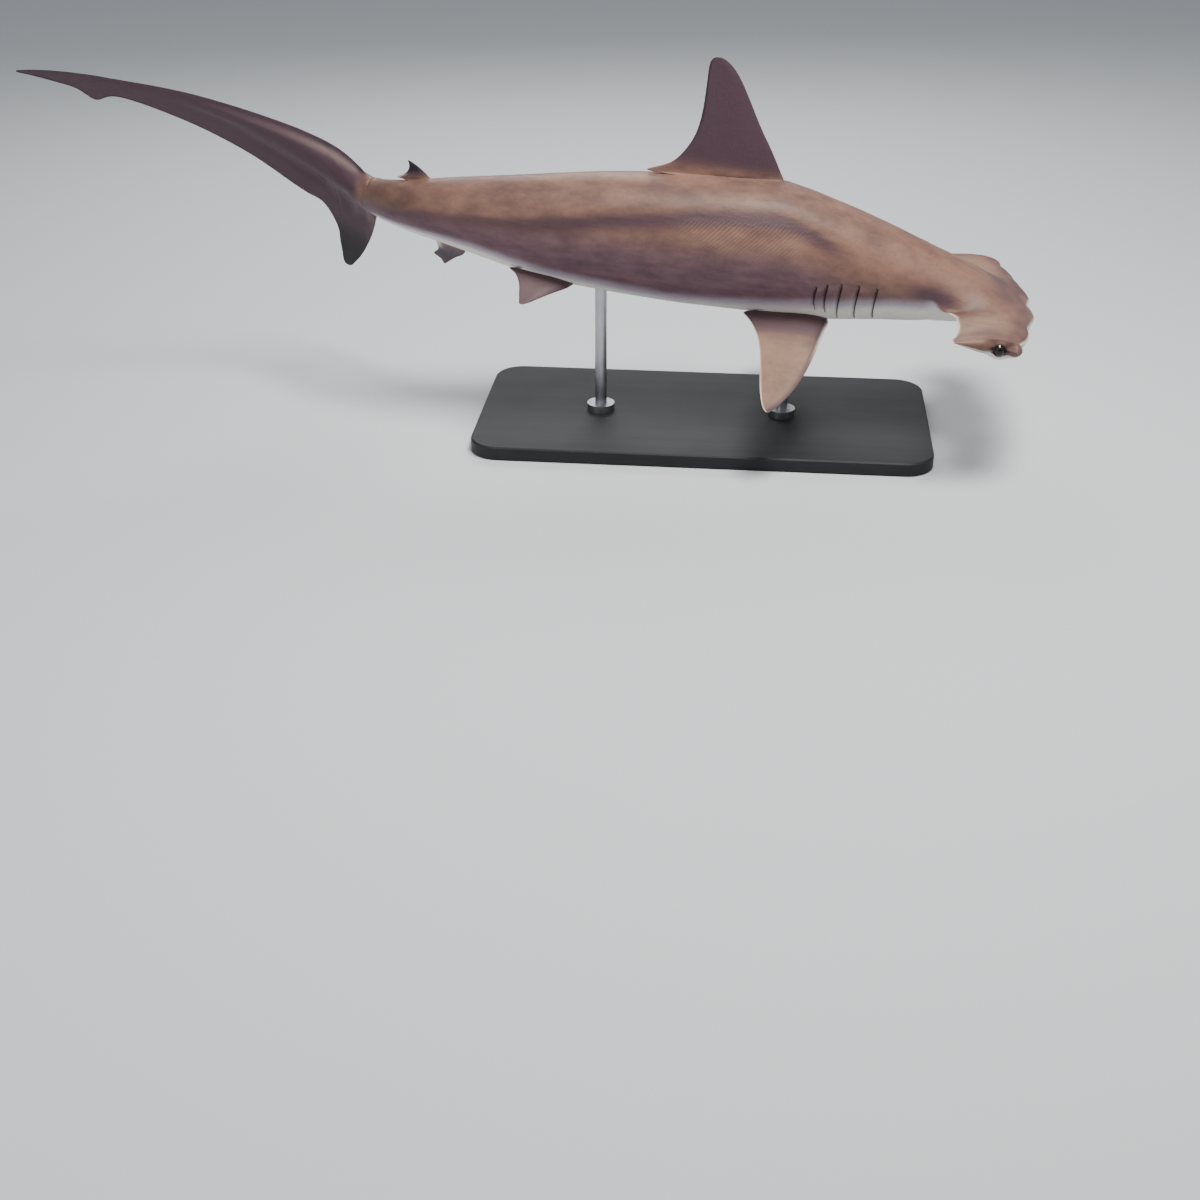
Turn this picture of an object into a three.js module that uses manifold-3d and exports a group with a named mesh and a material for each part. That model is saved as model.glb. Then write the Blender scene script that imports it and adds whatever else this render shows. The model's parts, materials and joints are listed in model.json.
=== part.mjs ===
// Life-size scalloped hammerhead shark on a plain display stand, in millimetres, nose along +X
import * as THREE from 'three';
import Module from 'manifold-3d';
import { LoftGeometry } from 'three/addons/geometries/LoftGeometry.js';
import { ParametricGeometry } from 'three/addons/geometries/ParametricGeometry.js';
import { mergeVertices } from 'three/addons/utils/BufferGeometryUtils.js';

const wasm = await Module();
wasm.setup();

// Driving sizes of the whole
const SEAM = 0.3;
const AXIS_HEIGHT = 405;
const ANCHOR_BACK = 620;
const ANCHOR_X = 62;
const TAIL_END = 2200;

// The pose, from the snout back: distance, yaw of the nose to the left, nose down, roll (degrees)
const POSE = [
  [-20, -2, 9, 0], [300, -1, 6, 0], [620, 0, 5, 0], [950, 2, 5, -1], [1150, 0, 7, 0],
  [1300, -24, -1, 2], [1420, -41, 1, 6], [1540, -29, 8, 11], [1680, 2, 9, 23],
  [1850, 0, 5, 29], [2200, -12, -12, 32],
];

// The body, from the snout back: distance, half width, top and bottom above the body line
const BODY = [
  [130, 68, 4, -74], [160, 82, 22, -82], [190, 93, 40, -92], [215, 98, 50, -99.5],
  [260, 100, 65, -107], [300, 101, 79, -112], [350, 105, 95, -119], [400, 111, 110, -126],
  [450, 116, 124, -130], [500, 120, 137, -131], [560, 123, 147, -130], [640, 124, 145, -130],
  [720, 123, 141, -130], [800, 118, 135, -127], [900, 108, 126, -121], [1000, 94, 113, -112],
  [1075, 83, 101, -99], [1150, 71, 88, -84], [1210, 62, 77, -72], [1270, 53, 67, -61],
  [1330, 45, 58, -52], [1390, 38, 48, -45], [1430, 34, 42, -41], [1455, 32, 39, -40],
  [1490, 31, 46, -37], [1530, 27, 60, -28], [1575, 23, 76, -12], [1640, 18, 98, 20],
  [1720, 12, 126, 66], [1800, 7, 154, 112], [1880, 3, 180, 150],
];
const RING_POINTS = 28;
const FINE_STEP = 30;
const COARSE_STEP = 46;

// Where the body is divided into its named lengths
const NECK_START = 222;
const TRUNK_START = 474;
const LOIN_START = 838;
const STALK_START = 1118;
const CAUDAL_START = 1460;
const CAUDAL_SPLIT = -46;

// The hammer: height of its middle plane, half span, and its front and rear edges by half width
const HAMMER_LEVEL = -47;
const FRONT_EDGE = [
  [0, 5], [22, 0], [55, -8], [95, 1], [130, 11], [146, 15], [165, 13], [192, 17], [216, 24],
  [238, 35], [250, 42], [262, 37], [276, 37], [288, 46],
];
const REAR_EDGE = [
  [0, 218], [92, 218], [101, 208], [108, 188], [120, 169], [140, 161], [178, 159], [220, 164],
  [256, 172], [280, 180], [288, 178],
];
const WING_HALF_THICKNESS = [[0, 22], [120, 19.5], [200, 17], [250, 17.5], [288, 19]];
// The raised middle of the head, from the snout back: distance, half width, top and bottom
const BROW = [
  [-10, 190, -46, -48], [5, 175, -42, -54], [32, 150, -25, -68], [64, 130, -9, -74.5],
  [87, 118, 3, -77], [114, 108, 16, -79.5], [148, 100, 29, -83.5], [189, 96.5, 42, -92],
  [215, 97.4, 49.3, -98.6], [245, 99, 59, -104.3],
];

// Eyes, nostrils and mouth
const EYE = { back: 82, side: 268.5, level: -51, radius: 15.5 };
const EYE_FACETS = 18;
const ORBIT_RADIUS = 21;
const LID = { radius: 14, tube: 2.6, side: 284.3 };
const MOUTH = { front: 126, corner: 190, halfWidth: 68, groove: 3.2, lip: 4.6 };
const NOSTRIL = { side: 247, level: -57, long: 15, deep: 7, wide: 4.2 };
const NASAL_GROOVE = { inner: 150, outer: 240, radius: 2.4 };

// Gill slits: distance from the snout, first and last angle down from the back, flap in front
const GILLS = [
  [325, 95, 150, 28], [363, 95, 150, 28], [399, 96, 149, 27], [428, 98, 134, 22],
  [450, 102, 131, 17],
];
const GILL_FLAP = { front: 1.1, rear: 3.6, lap: 3, lift: 0.6 };
const GILL_GROOVE = { half: 2.6, deep: 6 };

// Fins: rows of height above the root, leading and trailing edge, and full thickness
const FIRST_DORSAL = {
  back: 542, side: 0, level: 143, tilt: 90, sweepTilt: 0.045,
  rows: [
    [-24, 10, 214, 26], [0, 0, 222, 25], [8, 4, 286, 22], [20, 12, 255, 19], [37, 21, 226, 17],
    [70, 40, 202, 13.5], [107, 63, 189, 10.5], [156, 90, 184, 7.5], [208, 121, 183, 5],
    [234, 146, 180, 3.6], [241, 159, 171, 2],
  ],
};
const SECOND_DORSAL = {
  back: 1273, side: 0, level: 66, tilt: 90, sweepTilt: 0.14,
  rows: [
    [-12, 4, 54, 10], [0, 0, 56, 10], [4, 3, 80, 8.5], [7, 6, 88, 7.5], [12, 10, 68, 6.5],
    [20, 19, 55, 5.5], [29, 30, 50, 4], [37, 42, 51, 3], [41, 50, 52, 1.8],
  ],
};
const ANAL_FIN = {
  back: 1205, side: 0, level: -71, tilt: -90, sweepTilt: -0.13,
  rows: [
    [-14, 4, 62, 11], [0, -7, 64, 11], [10, -9, 62, 9], [18, -3, 59, 7.5], [26, 11, 66, 6.2],
    [33, 21, 72, 5], [38, 28, 59, 4], [43, 35, 51, 3], [48, 42, 47, 1.8],
  ],
};
const PECTORAL = {
  back: 432, side: 64, level: -111, tilt: -27, sweepTilt: 0,
  rows: [
    [-40, 2, 106, 26], [0, -16, 112, 25], [6, -18, 150, 24], [14, -18, 159, 22], [30, -14, 146, 20],
    [73, -4, 126, 17], [129, 10.5, 116.5, 12], [180, 28, 113, 8.5], [224, 49, 109, 6],
    [255, 69, 103, 4.4], [268, 79, 98, 3.2], [274, 88, 94, 2],
  ],
};
const PELVIC = {
  back: 962, side: 48, level: -99, tilt: -36, sweepTilt: -0.15,
  rows: [
    [-26, 4, 94, 16], [0, -8, 104, 15], [5, -5, 127, 13], [12, 0, 120, 12], [22, 9, 111, 11],
    [40, 32, 103.5, 8], [62, 58, 100.5, 5], [80, 78, 98, 3.4], [88, 90, 97, 2],
  ],
};
const CHORD = [0, 0.012, 0.05, 0.12, 0.24, 0.4, 0.58, 0.76, 0.91, 1, 1];
const FIN_EDGE = 1.3;

// Caudal fin: the upper lobe runs up from the notch over its root, the lower one down and back
const CAUDAL = { back: 1454, level: 39, rise: 20 };
const UPPER_LOBE = [
  [-6, 4, 60, 12], [40, -5, 118, 15], [94, -9, 153, 14], [140, -7, 150, 12.5], [183, -4, 143, 11.5],
  [273, -1, 120, 9.5], [340, 1, 105, 8], [412, 4, 91, 6.5], [483, 11, 80, 5.2], [550, 19, 71, 4.2],
  [576, 21, 72, 3.9], [592, 22, 84, 3.7], [606, 22, 93, 3.5], [618, 23, 86, 3.3], [632, 24, 72, 3.1],
  [680, 28, 58, 2.6], [722, 34, 48, 2.1], [745, 39, 43, 1.8],
];
const LOWER_LOBE = {
  back: 1452, side: 0, level: -20, tilt: -90, sweepTilt: 0,
  rows: [
    [-8, 8, 124, 26], [12, 4, 130, 24], [32, 6, 131, 20], [68, 20, 128, 14], [100, 37, 125, 10],
    [130, 55, 123, 7], [155, 71, 121, 5], [175, 87, 119, 3.6], [188, 99, 118, 2.6], [195, 107, 115, 1.8],
  ],
};
const PIT = { back: 1452, width: 24, long: 7, deep: 6 };

// Stand
const BASE = { long: 980, wide: 480, thick: 30, corner: 60, bevel: 3 };
const ROD = { radius: 13, collarRadius: 30, collarHeight: 16 };
const ROD_BACKS = [500, 900];

// Smooth curve through the rows of a table, with no overshoot between them
function slopeAt(table, column, row) {
  const step = (k) => (table[k + 1][column] - table[k][column]) / (table[k + 1][0] - table[k][0]);
  if (row === 0) return step(0);
  if (row === table.length - 1) return step(row - 1);
  const before = step(row - 1);
  const after = step(row);
  return before * after > 0 ? (2 * before * after) / (before + after) : 0;
}

function follow(table, column, at) {
  const last = table.length - 1;
  if (at <= table[0][0]) return table[0][column];
  if (at >= table[last][0]) return table[last][column];
  let row = 0;
  while (table[row + 1][0] < at) row += 1;
  const span = table[row + 1][0] - table[row][0];
  const t = (at - table[row][0]) / span;
  const m0 = slopeAt(table, column, row) * span;
  const m1 = slopeAt(table, column, row + 1) * span;
  const a = table[row][column];
  const b = table[row + 1][column];
  const t2 = t * t;
  const t3 = t2 * t;
  return (2 * t3 - 3 * t2 + 1) * a + (t3 - 2 * t2 + t) * m0 + (3 * t2 - 2 * t3) * b + (t3 - t2) * m1;
}

// The body line: a table of points and directions every few millimetres
const LINE_STEP = 5;
const LINE_START = -120;

function directionsAt(back) {
  const yaw = THREE.MathUtils.degToRad(follow(POSE, 1, back));
  const down = THREE.MathUtils.degToRad(follow(POSE, 2, back));
  const roll = THREE.MathUtils.degToRad(follow(POSE, 3, back));
  const forward = new THREE.Vector3(
    Math.cos(down) * Math.cos(yaw),
    Math.cos(down) * Math.sin(yaw),
    -Math.sin(down),
  );
  const level = new THREE.Vector3(-Math.sin(yaw), Math.cos(yaw), 0);
  const upright = new THREE.Vector3().crossVectors(forward, level);
  const up = upright.clone().multiplyScalar(Math.cos(roll)).addScaledVector(level, -Math.sin(roll));
  const left = level.clone().multiplyScalar(Math.cos(roll)).addScaledVector(upright, Math.sin(roll));
  return { forward, left, up };
}

function makeBodyLine() {
  const line = [];
  const here = new THREE.Vector3();
  for (let back = LINE_START; back <= TAIL_END; back += LINE_STEP) {
    const way = directionsAt(back);
    line.push({ centre: here.clone(), ...way });
    const next = directionsAt(back + LINE_STEP);
    here.addScaledVector(way.forward, -LINE_STEP / 2);
    here.addScaledVector(next.forward, -LINE_STEP / 2);
  }
  const anchor = line[(ANCHOR_BACK - LINE_START) / LINE_STEP].centre.clone();
  const place = new THREE.Vector3(ANCHOR_X, 0, AXIS_HEIGHT);
  line.forEach((entry) => entry.centre.sub(anchor).add(place));
  return line;
}

const BODY_LINE = makeBodyLine();

// From the straight shark (distance back, to its left, up) to its pose over the stand
function pose(back, side, level, target = new THREE.Vector3()) {
  const place = THREE.MathUtils.clamp((back - LINE_START) / LINE_STEP, 0, BODY_LINE.length - 1.001);
  const k = Math.floor(place);
  const t = place - k;
  const a = BODY_LINE[k];
  const b = BODY_LINE[k + 1];
  target.copy(a.centre).lerp(b.centre, t);
  target.addScaledVector(a.left, side * (1 - t)).addScaledVector(b.left, side * t);
  target.addScaledVector(a.up, level * (1 - t)).addScaledVector(b.up, level * t);
  return target;
}

// Closed geometry to a solid body facing outwards
function solid(geometry) {
  const plain = new THREE.BufferGeometry();
  plain.setAttribute('position', geometry.getAttribute('position'));
  if (geometry.index) plain.setIndex(geometry.index);
  const welded = mergeVertices(plain, 1e-4);
  const places = welded.getAttribute('position');
  const corners = [];
  let volume = 0;
  for (let k = 0; k < welded.index.count; k += 3) {
    const [a, b, c] = [0, 1, 2].map((n) => welded.index.getX(k + n));
    if (a === b || b === c || a === c) continue;
    corners.push(a, b, c);
    const [p, q, r] = [a, b, c].map((n) => new THREE.Vector3().fromBufferAttribute(places, n));
    volume += p.dot(q.cross(r));
  }
  if (volume < 0) corners.reverse();
  const mesh = new wasm.Mesh({
    numProp: 3,
    vertProperties: new Float32Array(places.array),
    triVerts: new Uint32Array(corners),
  });
  return new wasm.Manifold(mesh);
}

// Stretch every point of a straight geometry into the pose
function posed(geometry) {
  const places = geometry.getAttribute('position');
  const point = new THREE.Vector3();
  for (let k = 0; k < places.count; k += 1) {
    pose(places.getX(k), places.getY(k), places.getZ(k), point);
    places.setXYZ(k, point.x, point.y, point.z);
  }
  return geometry;
}

// A block of the straight shark's space, used to divide the body
function region(fromBack, toBack, halfSide, fromLevel, toLevel) {
  const pieces = Math.max(1, Math.ceil((toBack - fromBack) / 30));
  const block = new THREE.BoxGeometry(toBack - fromBack, 2 * halfSide, toLevel - fromLevel, pieces);
  block.translate((fromBack + toBack) / 2, 0, (fromLevel + toLevel) / 2);
  return solid(posed(block));
}

// A tube of elliptical section along a path of straight-shark points
function tubeAlong(path, radiusBack, radiusLevel, pieces, points = 7) {
  const rings = [];
  for (let k = 0; k <= pieces; k += 1) {
    const t = k / pieces;
    const centre = path(t);
    const ahead = path(Math.min(1, t + 0.01)).sub(path(Math.max(0, t - 0.01))).normalize();
    const across = new THREE.Vector3(1, 0, 0).addScaledVector(ahead, -ahead.x).normalize();
    const other = new THREE.Vector3().crossVectors(across, ahead);
    const taper = 0.35 + 0.65 * Math.sqrt(Math.sin(Math.PI * THREE.MathUtils.clamp(t, 0.03, 0.97)));
    const ring = [];
    for (let n = 0; n < points; n += 1) {
      const angle = (2 * Math.PI * n) / points;
      const point = centre.clone();
      point.addScaledVector(across, radiusBack * taper * Math.cos(angle));
      point.addScaledVector(other, radiusLevel * taper * Math.sin(angle));
      ring.push(pose(point.x, point.y, point.z));
    }
    rings.push(ring);
  }
  return solid(new LoftGeometry(rings, { capStart: true, capEnd: true }));
}

// Body outline at one distance back, at an angle down from the back, grown by a gap
function bodyPoint(back, angle, grow = 0) {
  const half = follow(BODY, 1, back) + grow;
  const top = follow(BODY, 2, back) + grow;
  const bottom = follow(BODY, 3, back) - grow;
  const middle = (top + bottom) / 2;
  const up = Math.cos(angle);
  const reach = up > 0 ? top - middle : middle - bottom;
  const fullness = up > 0 ? 1 : 0.93;
  const rise = Math.sign(up) * Math.abs(up) ** fullness;
  return new THREE.Vector3(back, half * Math.sin(angle), middle + reach * rise);
}

function bodyShell(grow) {
  const rings = [];
  const first = BODY[0][0];
  const last = BODY[BODY.length - 1][0];
  let back = first;
  while (back < last) {
    const ring = [];
    for (let n = 0; n < RING_POINTS; n += 1) {
      const point = bodyPoint(back, (2 * Math.PI * n) / RING_POINTS, grow);
      ring.push(pose(point.x, point.y, point.z));
    }
    rings.push(ring);
    back += back < 480 || (back > 1230 && back < 1580) ? FINE_STEP : COARSE_STEP;
  }
  return solid(new LoftGeometry(rings, { capStart: true, capEnd: true }));
}

// The hammer: blunt nose of the section, then a long taper to a thin rear edge
function wingProfile(x) {
  const nose = 0.24;
  const full = 0.46;
  if (x < nose) return Math.sqrt(Math.max(0, 1 - (1 - x / nose) ** 2));
  if (x < full) return 1;
  return 1 - 0.88 * ((x - full) / (1 - full)) ** 1.35;
}

function soften(a, b, width) {
  return (a + b + Math.sqrt((a - b) ** 2 + width ** 2)) / 2;
}

function hammerHeight(back, side, above) {
  const across = Math.abs(side);
  const front = follow(FRONT_EDGE, 1, across);
  const rear = follow(REAR_EDGE, 1, across);
  const x = THREE.MathUtils.clamp((back - front) / (rear - front), 0, 1);
  const tip = Math.sqrt(Math.max(0, 1 - Math.max(0, (across - 266) / 22) ** 2));
  const wing = follow(WING_HALF_THICKNESS, 1, across) * wingProfile(x) * tip;
  const half = follow(BROW, 1, back);
  const top = follow(BROW, 2, back);
  const bottom = follow(BROW, 3, back);
  const middle = (top + bottom) / 2;
  const arch = Math.sqrt(Math.max(0, 1 - (across / half) ** 2));
  const centre = above ? middle - HAMMER_LEVEL : HAMMER_LEVEL - middle;
  const brow = across < half ? centre + ((top - bottom) / 2) * arch : -80;
  const blend = 14 * Math.min(1, wing / 8);
  const shared = Math.max(wing, soften(wing, brow, blend) - 0.1 * blend);
  return Math.min(shared, wing + 90 * Math.sqrt(Math.min(1, x * 4)));
}

function hammerSection(side, pieces) {
  const across = Math.abs(side);
  const front = follow(FRONT_EDGE, 1, across);
  const rear = follow(REAR_EDGE, 1, across);
  const upper = [];
  const lower = [];
  for (let k = 0; k <= pieces; k += 1) {
    const x = (1 - Math.cos(Math.PI * (k / pieces) ** 0.85)) / 2;
    const back = front + (rear - front) * x;
    upper.push([back, HAMMER_LEVEL + hammerHeight(back, side, true)]);
    if (k > 0) lower.push([back, HAMMER_LEVEL - hammerHeight(back, side, false)]);
  }
  return upper.concat(lower.reverse()).map(([back, level]) => pose(back, side, level));
}

function hammer() {
  const places = [
    0, 20, 38, 55, 75, 92, 102, 114, 130, 146, 164, 190, 214, 230, 240, 250, 262, 273, 281, 285, 287.5,
  ];
  const sides = places.slice(1).reverse().concat(places.map((place) => -place));
  const rings = sides.map((side) => hammerSection(side, 10));
  return solid(new LoftGeometry(rings, { capStart: true, capEnd: true }));
}

// A ball at a place of the straight shark, stretched along its three directions
function ball(back, side, level, radii, detail = 24) {
  const shape = new THREE.SphereGeometry(1, detail, Math.round(detail / 2));
  shape.scale(radii[0], radii[1], radii[2]);
  shape.translate(back, side, level);
  return solid(posed(shape));
}

function lidRing(hand) {
  const ring = new THREE.TorusGeometry(LID.radius, LID.tube, 5, 20);
  ring.scale(1.06, 0.94, 1);
  ring.rotateX(Math.PI / 2);
  ring.translate(EYE.back, hand * LID.side, EYE.level);
  return solid(posed(ring));
}

function socket(hand) {
  const gap = EYE.radius + SEAM;
  const hollow = ball(EYE.back, hand * EYE.side, EYE.level, [gap, gap, gap], EYE_FACETS);
  const opening = new THREE.CylinderGeometry(12.4, 11.6, 30, EYE_FACETS);
  opening.translate(EYE.back, hand * (EYE.side + 20), EYE.level);
  return hollow.add(solid(posed(opening)));
}

// Nostril slit under the front edge and the groove that leads to it
function nostril(hand) {
  const front = follow(FRONT_EDGE, 1, NOSTRIL.side);
  const radii = [NOSTRIL.wide, NOSTRIL.long, NOSTRIL.deep];
  const slit = ball(front + 7, hand * NOSTRIL.side, NOSTRIL.level, radii, 12);
  const reach = NASAL_GROOVE.outer - NASAL_GROOVE.inner;
  const path = (t) => {
    const across = NASAL_GROOVE.inner + reach * t;
    return new THREE.Vector3(follow(FRONT_EDGE, 1, across) + 0.6, hand * across, HAMMER_LEVEL - 3);
  };
  return slit.add(tubeAlong(path, NASAL_GROOVE.radius, NASAL_GROOVE.radius, 9));
}

// The line of the mouth under the head, with an offset for its lips
function mouthPath(shift, sink) {
  return (t) => {
    const across = (2 * t - 1) * (MOUTH.halfWidth + shift * 0.5);
    const bow = Math.abs(2 * t - 1) ** 2;
    const back = MOUTH.front - shift + (MOUTH.corner - MOUTH.front) * bow;
    const level = HAMMER_LEVEL - hammerHeight(back, across, false) + sink;
    return new THREE.Vector3(back, across, level);
  };
}

function headSolid(whole) {
  let head = whole.intersect(region(-70, NECK_START - SEAM / 2, 330, -190, 150));
  for (const hand of [1, -1]) {
    const radii = [ORBIT_RADIUS * 1.25, ORBIT_RADIUS, ORBIT_RADIUS];
    head = head.add(ball(EYE.back, hand * (EYE.side - 1), EYE.level, radii, 14));
    head = head.subtract(socket(hand)).add(lidRing(hand));
    head = head.subtract(nostril(hand));
  }
  for (const shift of [6.5, -6.5]) {
    head = head.add(tubeAlong(mouthPath(shift, 2.4), MOUTH.lip, MOUTH.lip, 12, 6));
  }
  return head.subtract(tubeAlong(mouthPath(0, 0), MOUTH.groove, MOUTH.groove + 2, 12, 6));
}

// Gill slit number k on one side, as a path over the skin
function gillPath(k, hand, shift, grow) {
  const [back, first, last] = GILLS[k];
  return (t) => {
    const angle = THREE.MathUtils.degToRad(first + (last - first) * t);
    const bow = 4 * Math.sin(Math.PI * t);
    const point = bodyPoint(back + shift + bow - 5 * t, angle, grow);
    return new THREE.Vector3(point.x, hand * point.y, point.z);
  };
}

function gillGroove(k, hand) {
  return tubeAlong(gillPath(k, hand, 3, 0), GILL_GROOVE.half, GILL_GROOVE.deep, 6, 6);
}

// A closed sheet between two faces that share their rims
function sheet(point, columns, rows) {
  const faces = [1, -1].map((face) => {
    const along = (u, v, target) => point(u * columns, v * rows, face, target);
    return new ParametricGeometry(along, columns, rows);
  });
  const places = faces.flatMap((geometry) => Array.from(geometry.getAttribute('position').array));
  const count = faces[0].getAttribute('position').count;
  const front = Array.from(faces[0].index.array);
  const rear = Array.from(faces[1].index.array).reverse().map((corner) => corner + count);
  const joined = new THREE.BufferGeometry();
  joined.setAttribute('position', new THREE.Float32BufferAttribute(places, 3));
  joined.setIndex(front.concat(rear));
  return solid(joined);
}

function gillFlap(k, hand) {
  const columns = 5;
  const rows = 8;
  const point = (u, v, face, target) => {
    const column = Math.round(u);
    const row = Math.round(v);
    const rim = column === 0 || column === columns || row === 0 || row === rows;
    const x = (THREE.MathUtils.clamp(column, 1, columns - 1) - 1) / (columns - 2);
    const y = (THREE.MathUtils.clamp(row, 1, rows - 1) - 1) / (rows - 2);
    const ends = Math.sqrt(Math.sin(Math.PI * (0.06 + 0.88 * y)));
    const thick = (GILL_FLAP.front + (GILL_FLAP.rear - GILL_FLAP.front) * x ** 1.5) * ends;
    const reach = GILLS[k][3] * (0.45 + 0.55 * ends);
    const shift = GILL_FLAP.lap - reach * (1 - x);
    const middle = GILL_FLAP.lift + thick / 2;
    const grow = rim ? middle : middle + (face * thick) / 2;
    const place = gillPath(k, hand, shift, grow)(0.02 + 0.96 * y);
    return pose(place.x, place.y, place.z, target);
  };
  return sheet(point, columns, rows);
}

// Half thickness of a fin along its chord: blunt in front, thin behind
function finProfile(x) {
  return Math.min(1, 2.1 * Math.sqrt(x) * (1 - 0.42 * x)) * (1 - 0.72 * Math.max(0, x - 0.3) / 0.7);
}

// A fin that stands on its root line, tilted about it; hand +1 is the shark's left
function fin(shape, hand = 1) {
  const columns = CHORD.length - 1;
  const rows = shape.rows.length + 1;
  const tilt = THREE.MathUtils.degToRad(shape.tilt);
  const point = (u, v, face, target) => {
    const column = Math.round(u);
    const row = Math.round(v);
    const [height, front, rear, thick] = shape.rows[THREE.MathUtils.clamp(row - 1, 0, rows - 2)];
    const x = CHORD[column];
    const rim = row === 0 || row === rows || column === 0 || column === columns;
    const half = Math.max((thick / 2) * finProfile(x), x > 0 ? FIN_EDGE / 2 : 0);
    const off = rim ? 0 : half * face;
    const chord = front + (rear - front) * x;
    const drop = shape.sweepTilt * chord;
    const side = shape.side + height * Math.cos(tilt) - off * Math.sin(tilt);
    const level = shape.level - drop + height * Math.sin(tilt) + off * Math.cos(tilt);
    return pose(shape.back + chord, hand * side, level, target);
  };
  return sheet(point, columns, rows);
}

// The upper lobe hangs from its upper edge, thick along the top and thin below
function upperLobe() {
  const columns = CHORD.length - 1;
  const rows = UPPER_LOBE.length + 1;
  const rise = THREE.MathUtils.degToRad(CAUDAL.rise);
  const point = (u, v, face, target) => {
    const column = Math.round(u);
    const row = Math.round(v);
    const [along, upper, lower, thick] = UPPER_LOBE[THREE.MathUtils.clamp(row - 1, 0, rows - 2)];
    const x = CHORD[column];
    const rim = row === 0 || row === rows || column === 0 || column === columns;
    const half = Math.max((thick / 2) * finProfile(x), x > 0 ? FIN_EDGE / 2 : 0);
    const below = upper + (lower - upper) * x;
    const back = CAUDAL.back + along * Math.cos(rise) + below * Math.sin(rise);
    const level = CAUDAL.level + along * Math.sin(rise) - below * Math.cos(rise);
    return pose(back, rim ? 0 : half * face, level, target);
  };
  return sheet(point, columns, rows);
}

// Shark: whole body first, then divided where it is named
const body = bodyShell(0);
const nearBody = bodyShell(SEAM);
const hammerBody = body.add(hammer());

function material(colour, roughness, metalness = 0) {
  return new THREE.MeshStandardMaterial({ color: colour, roughness, metalness });
}

function toGeometry(manifold) {
  const mesh = manifold.getMesh();
  const geometry = new THREE.BufferGeometry();
  geometry.setAttribute('position', new THREE.Float32BufferAttribute(mesh.vertProperties, 3));
  geometry.setIndex(Array.from(mesh.triVerts));
  geometry.computeVertexNormals();
  return geometry;
}

const shark = new THREE.Group();
shark.name = 'hammerhead_shark';

function addNode(name, manifold, look) {
  const mesh = new THREE.Mesh(toGeometry(manifold), look);
  mesh.name = name;
  shark.add(mesh);
}

const HAND_NAMES = [[1, 'left'], [-1, 'right']];

function addHead() {
  addNode('head', headSolid(hammerBody), material(0x9c8069, 0.5));
  for (const [hand, side] of HAND_NAMES) {
    const radii = [EYE.radius, EYE.radius, EYE.radius];
    const eye = ball(EYE.back, hand * EYE.side, EYE.level, radii, EYE_FACETS);
    addNode(`eye_${side}`, eye, material(0x15120f, 0.12));
  }
}

function addNeck() {
  let neck = hammerBody.intersect(region(NECK_START + SEAM / 2, TRUNK_START - SEAM / 2, 170, -200, 230));
  for (const [hand] of HAND_NAMES) {
    for (let k = 0; k < GILLS.length; k += 1) neck = neck.subtract(gillGroove(k, hand));
  }
  addNode('neck', neck, material(0x8f7766, 0.5));
  for (const [hand, side] of HAND_NAMES) {
    for (let k = 0; k < GILLS.length; k += 1) {
      addNode(`gill_flap_${side}_${k + 1}`, gillFlap(k, hand), material(0x846f66, 0.5));
    }
  }
}

function addTrunk() {
  const half = SEAM / 2;
  const front = body.intersect(region(TRUNK_START + half, LOIN_START - half, 170, -200, 230));
  addNode('torso_front', front, material(0x8d7565, 0.5));
  const rear = body.intersect(region(LOIN_START + half, STALK_START - half, 160, -190, 220));
  addNode('torso_rear', rear, material(0x8b7466, 0.5));
  const stalk = body.intersect(region(STALK_START + half, CAUDAL_START - half, 88, -140, 140));
  const pit = ball(PIT.back, 0, 41, [PIT.long, PIT.width, PIT.deep], 20);
  addNode('tail_stalk', stalk.subtract(pit), material(0x87705f, 0.5));
}

function addFins() {
  const upright = [
    ['dorsal_fin_1', FIRST_DORSAL, 0x86705f], ['dorsal_fin_2', SECOND_DORSAL, 0x5d5350],
    ['anal_fin', ANAL_FIN, 0x6a6465],
  ];
  for (const [name, shape, colour] of upright) {
    addNode(name, fin(shape).subtract(nearBody), material(colour, 0.5));
  }
  for (const [hand, side] of HAND_NAMES) {
    addNode(`pectoral_fin_${side}`, fin(PECTORAL, hand).subtract(nearBody), material(0x93796a, 0.5));
    addNode(`pelvic_fin_${side}`, fin(PELVIC, hand).subtract(nearBody), material(0x8a7569, 0.5));
  }
}

function addCaudal() {
  const half = SEAM / 2;
  const whole = body.add(upperLobe()).add(fin(LOWER_LOBE));
  const tail = whole.intersect(region(CAUDAL_START + half, TAIL_END - 4, 56, -280, 470));
  const above = (level) => region(CAUDAL_START - 4, TAIL_END, 60, level, 480);
  const upper = tail.intersect(above(CAUDAL_SPLIT + half));
  const lower = tail.subtract(above(CAUDAL_SPLIT - half));
  addNode('caudal_upper_lobe', upper, material(0x7f6c66, 0.5));
  addNode('caudal_lower_lobe', lower, material(0x4a4a52, 0.5));
}

// Stand: a flat base with softened edges and two rods that meet the belly
function standBase() {
  const { long, wide, thick, corner, bevel } = BASE;
  const [x, y] = [long / 2 - bevel, wide / 2 - bevel];
  const outline = new THREE.Shape();
  outline.absarc(x - corner, y - corner, corner, 0, Math.PI / 2);
  outline.absarc(corner - x, y - corner, corner, Math.PI / 2, Math.PI);
  outline.absarc(corner - x, corner - y, corner, Math.PI, 1.5 * Math.PI);
  outline.absarc(x - corner, corner - y, corner, 1.5 * Math.PI, 2 * Math.PI);
  const plate = new THREE.ExtrudeGeometry(outline, {
    depth: thick - 2 * bevel,
    bevelEnabled: true,
    bevelThickness: bevel,
    bevelSize: bevel,
    bevelSegments: 1,
    curveSegments: 5,
  });
  plate.translate(0, 0, bevel);
  return solid(mergeVertices(plate));
}

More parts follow.
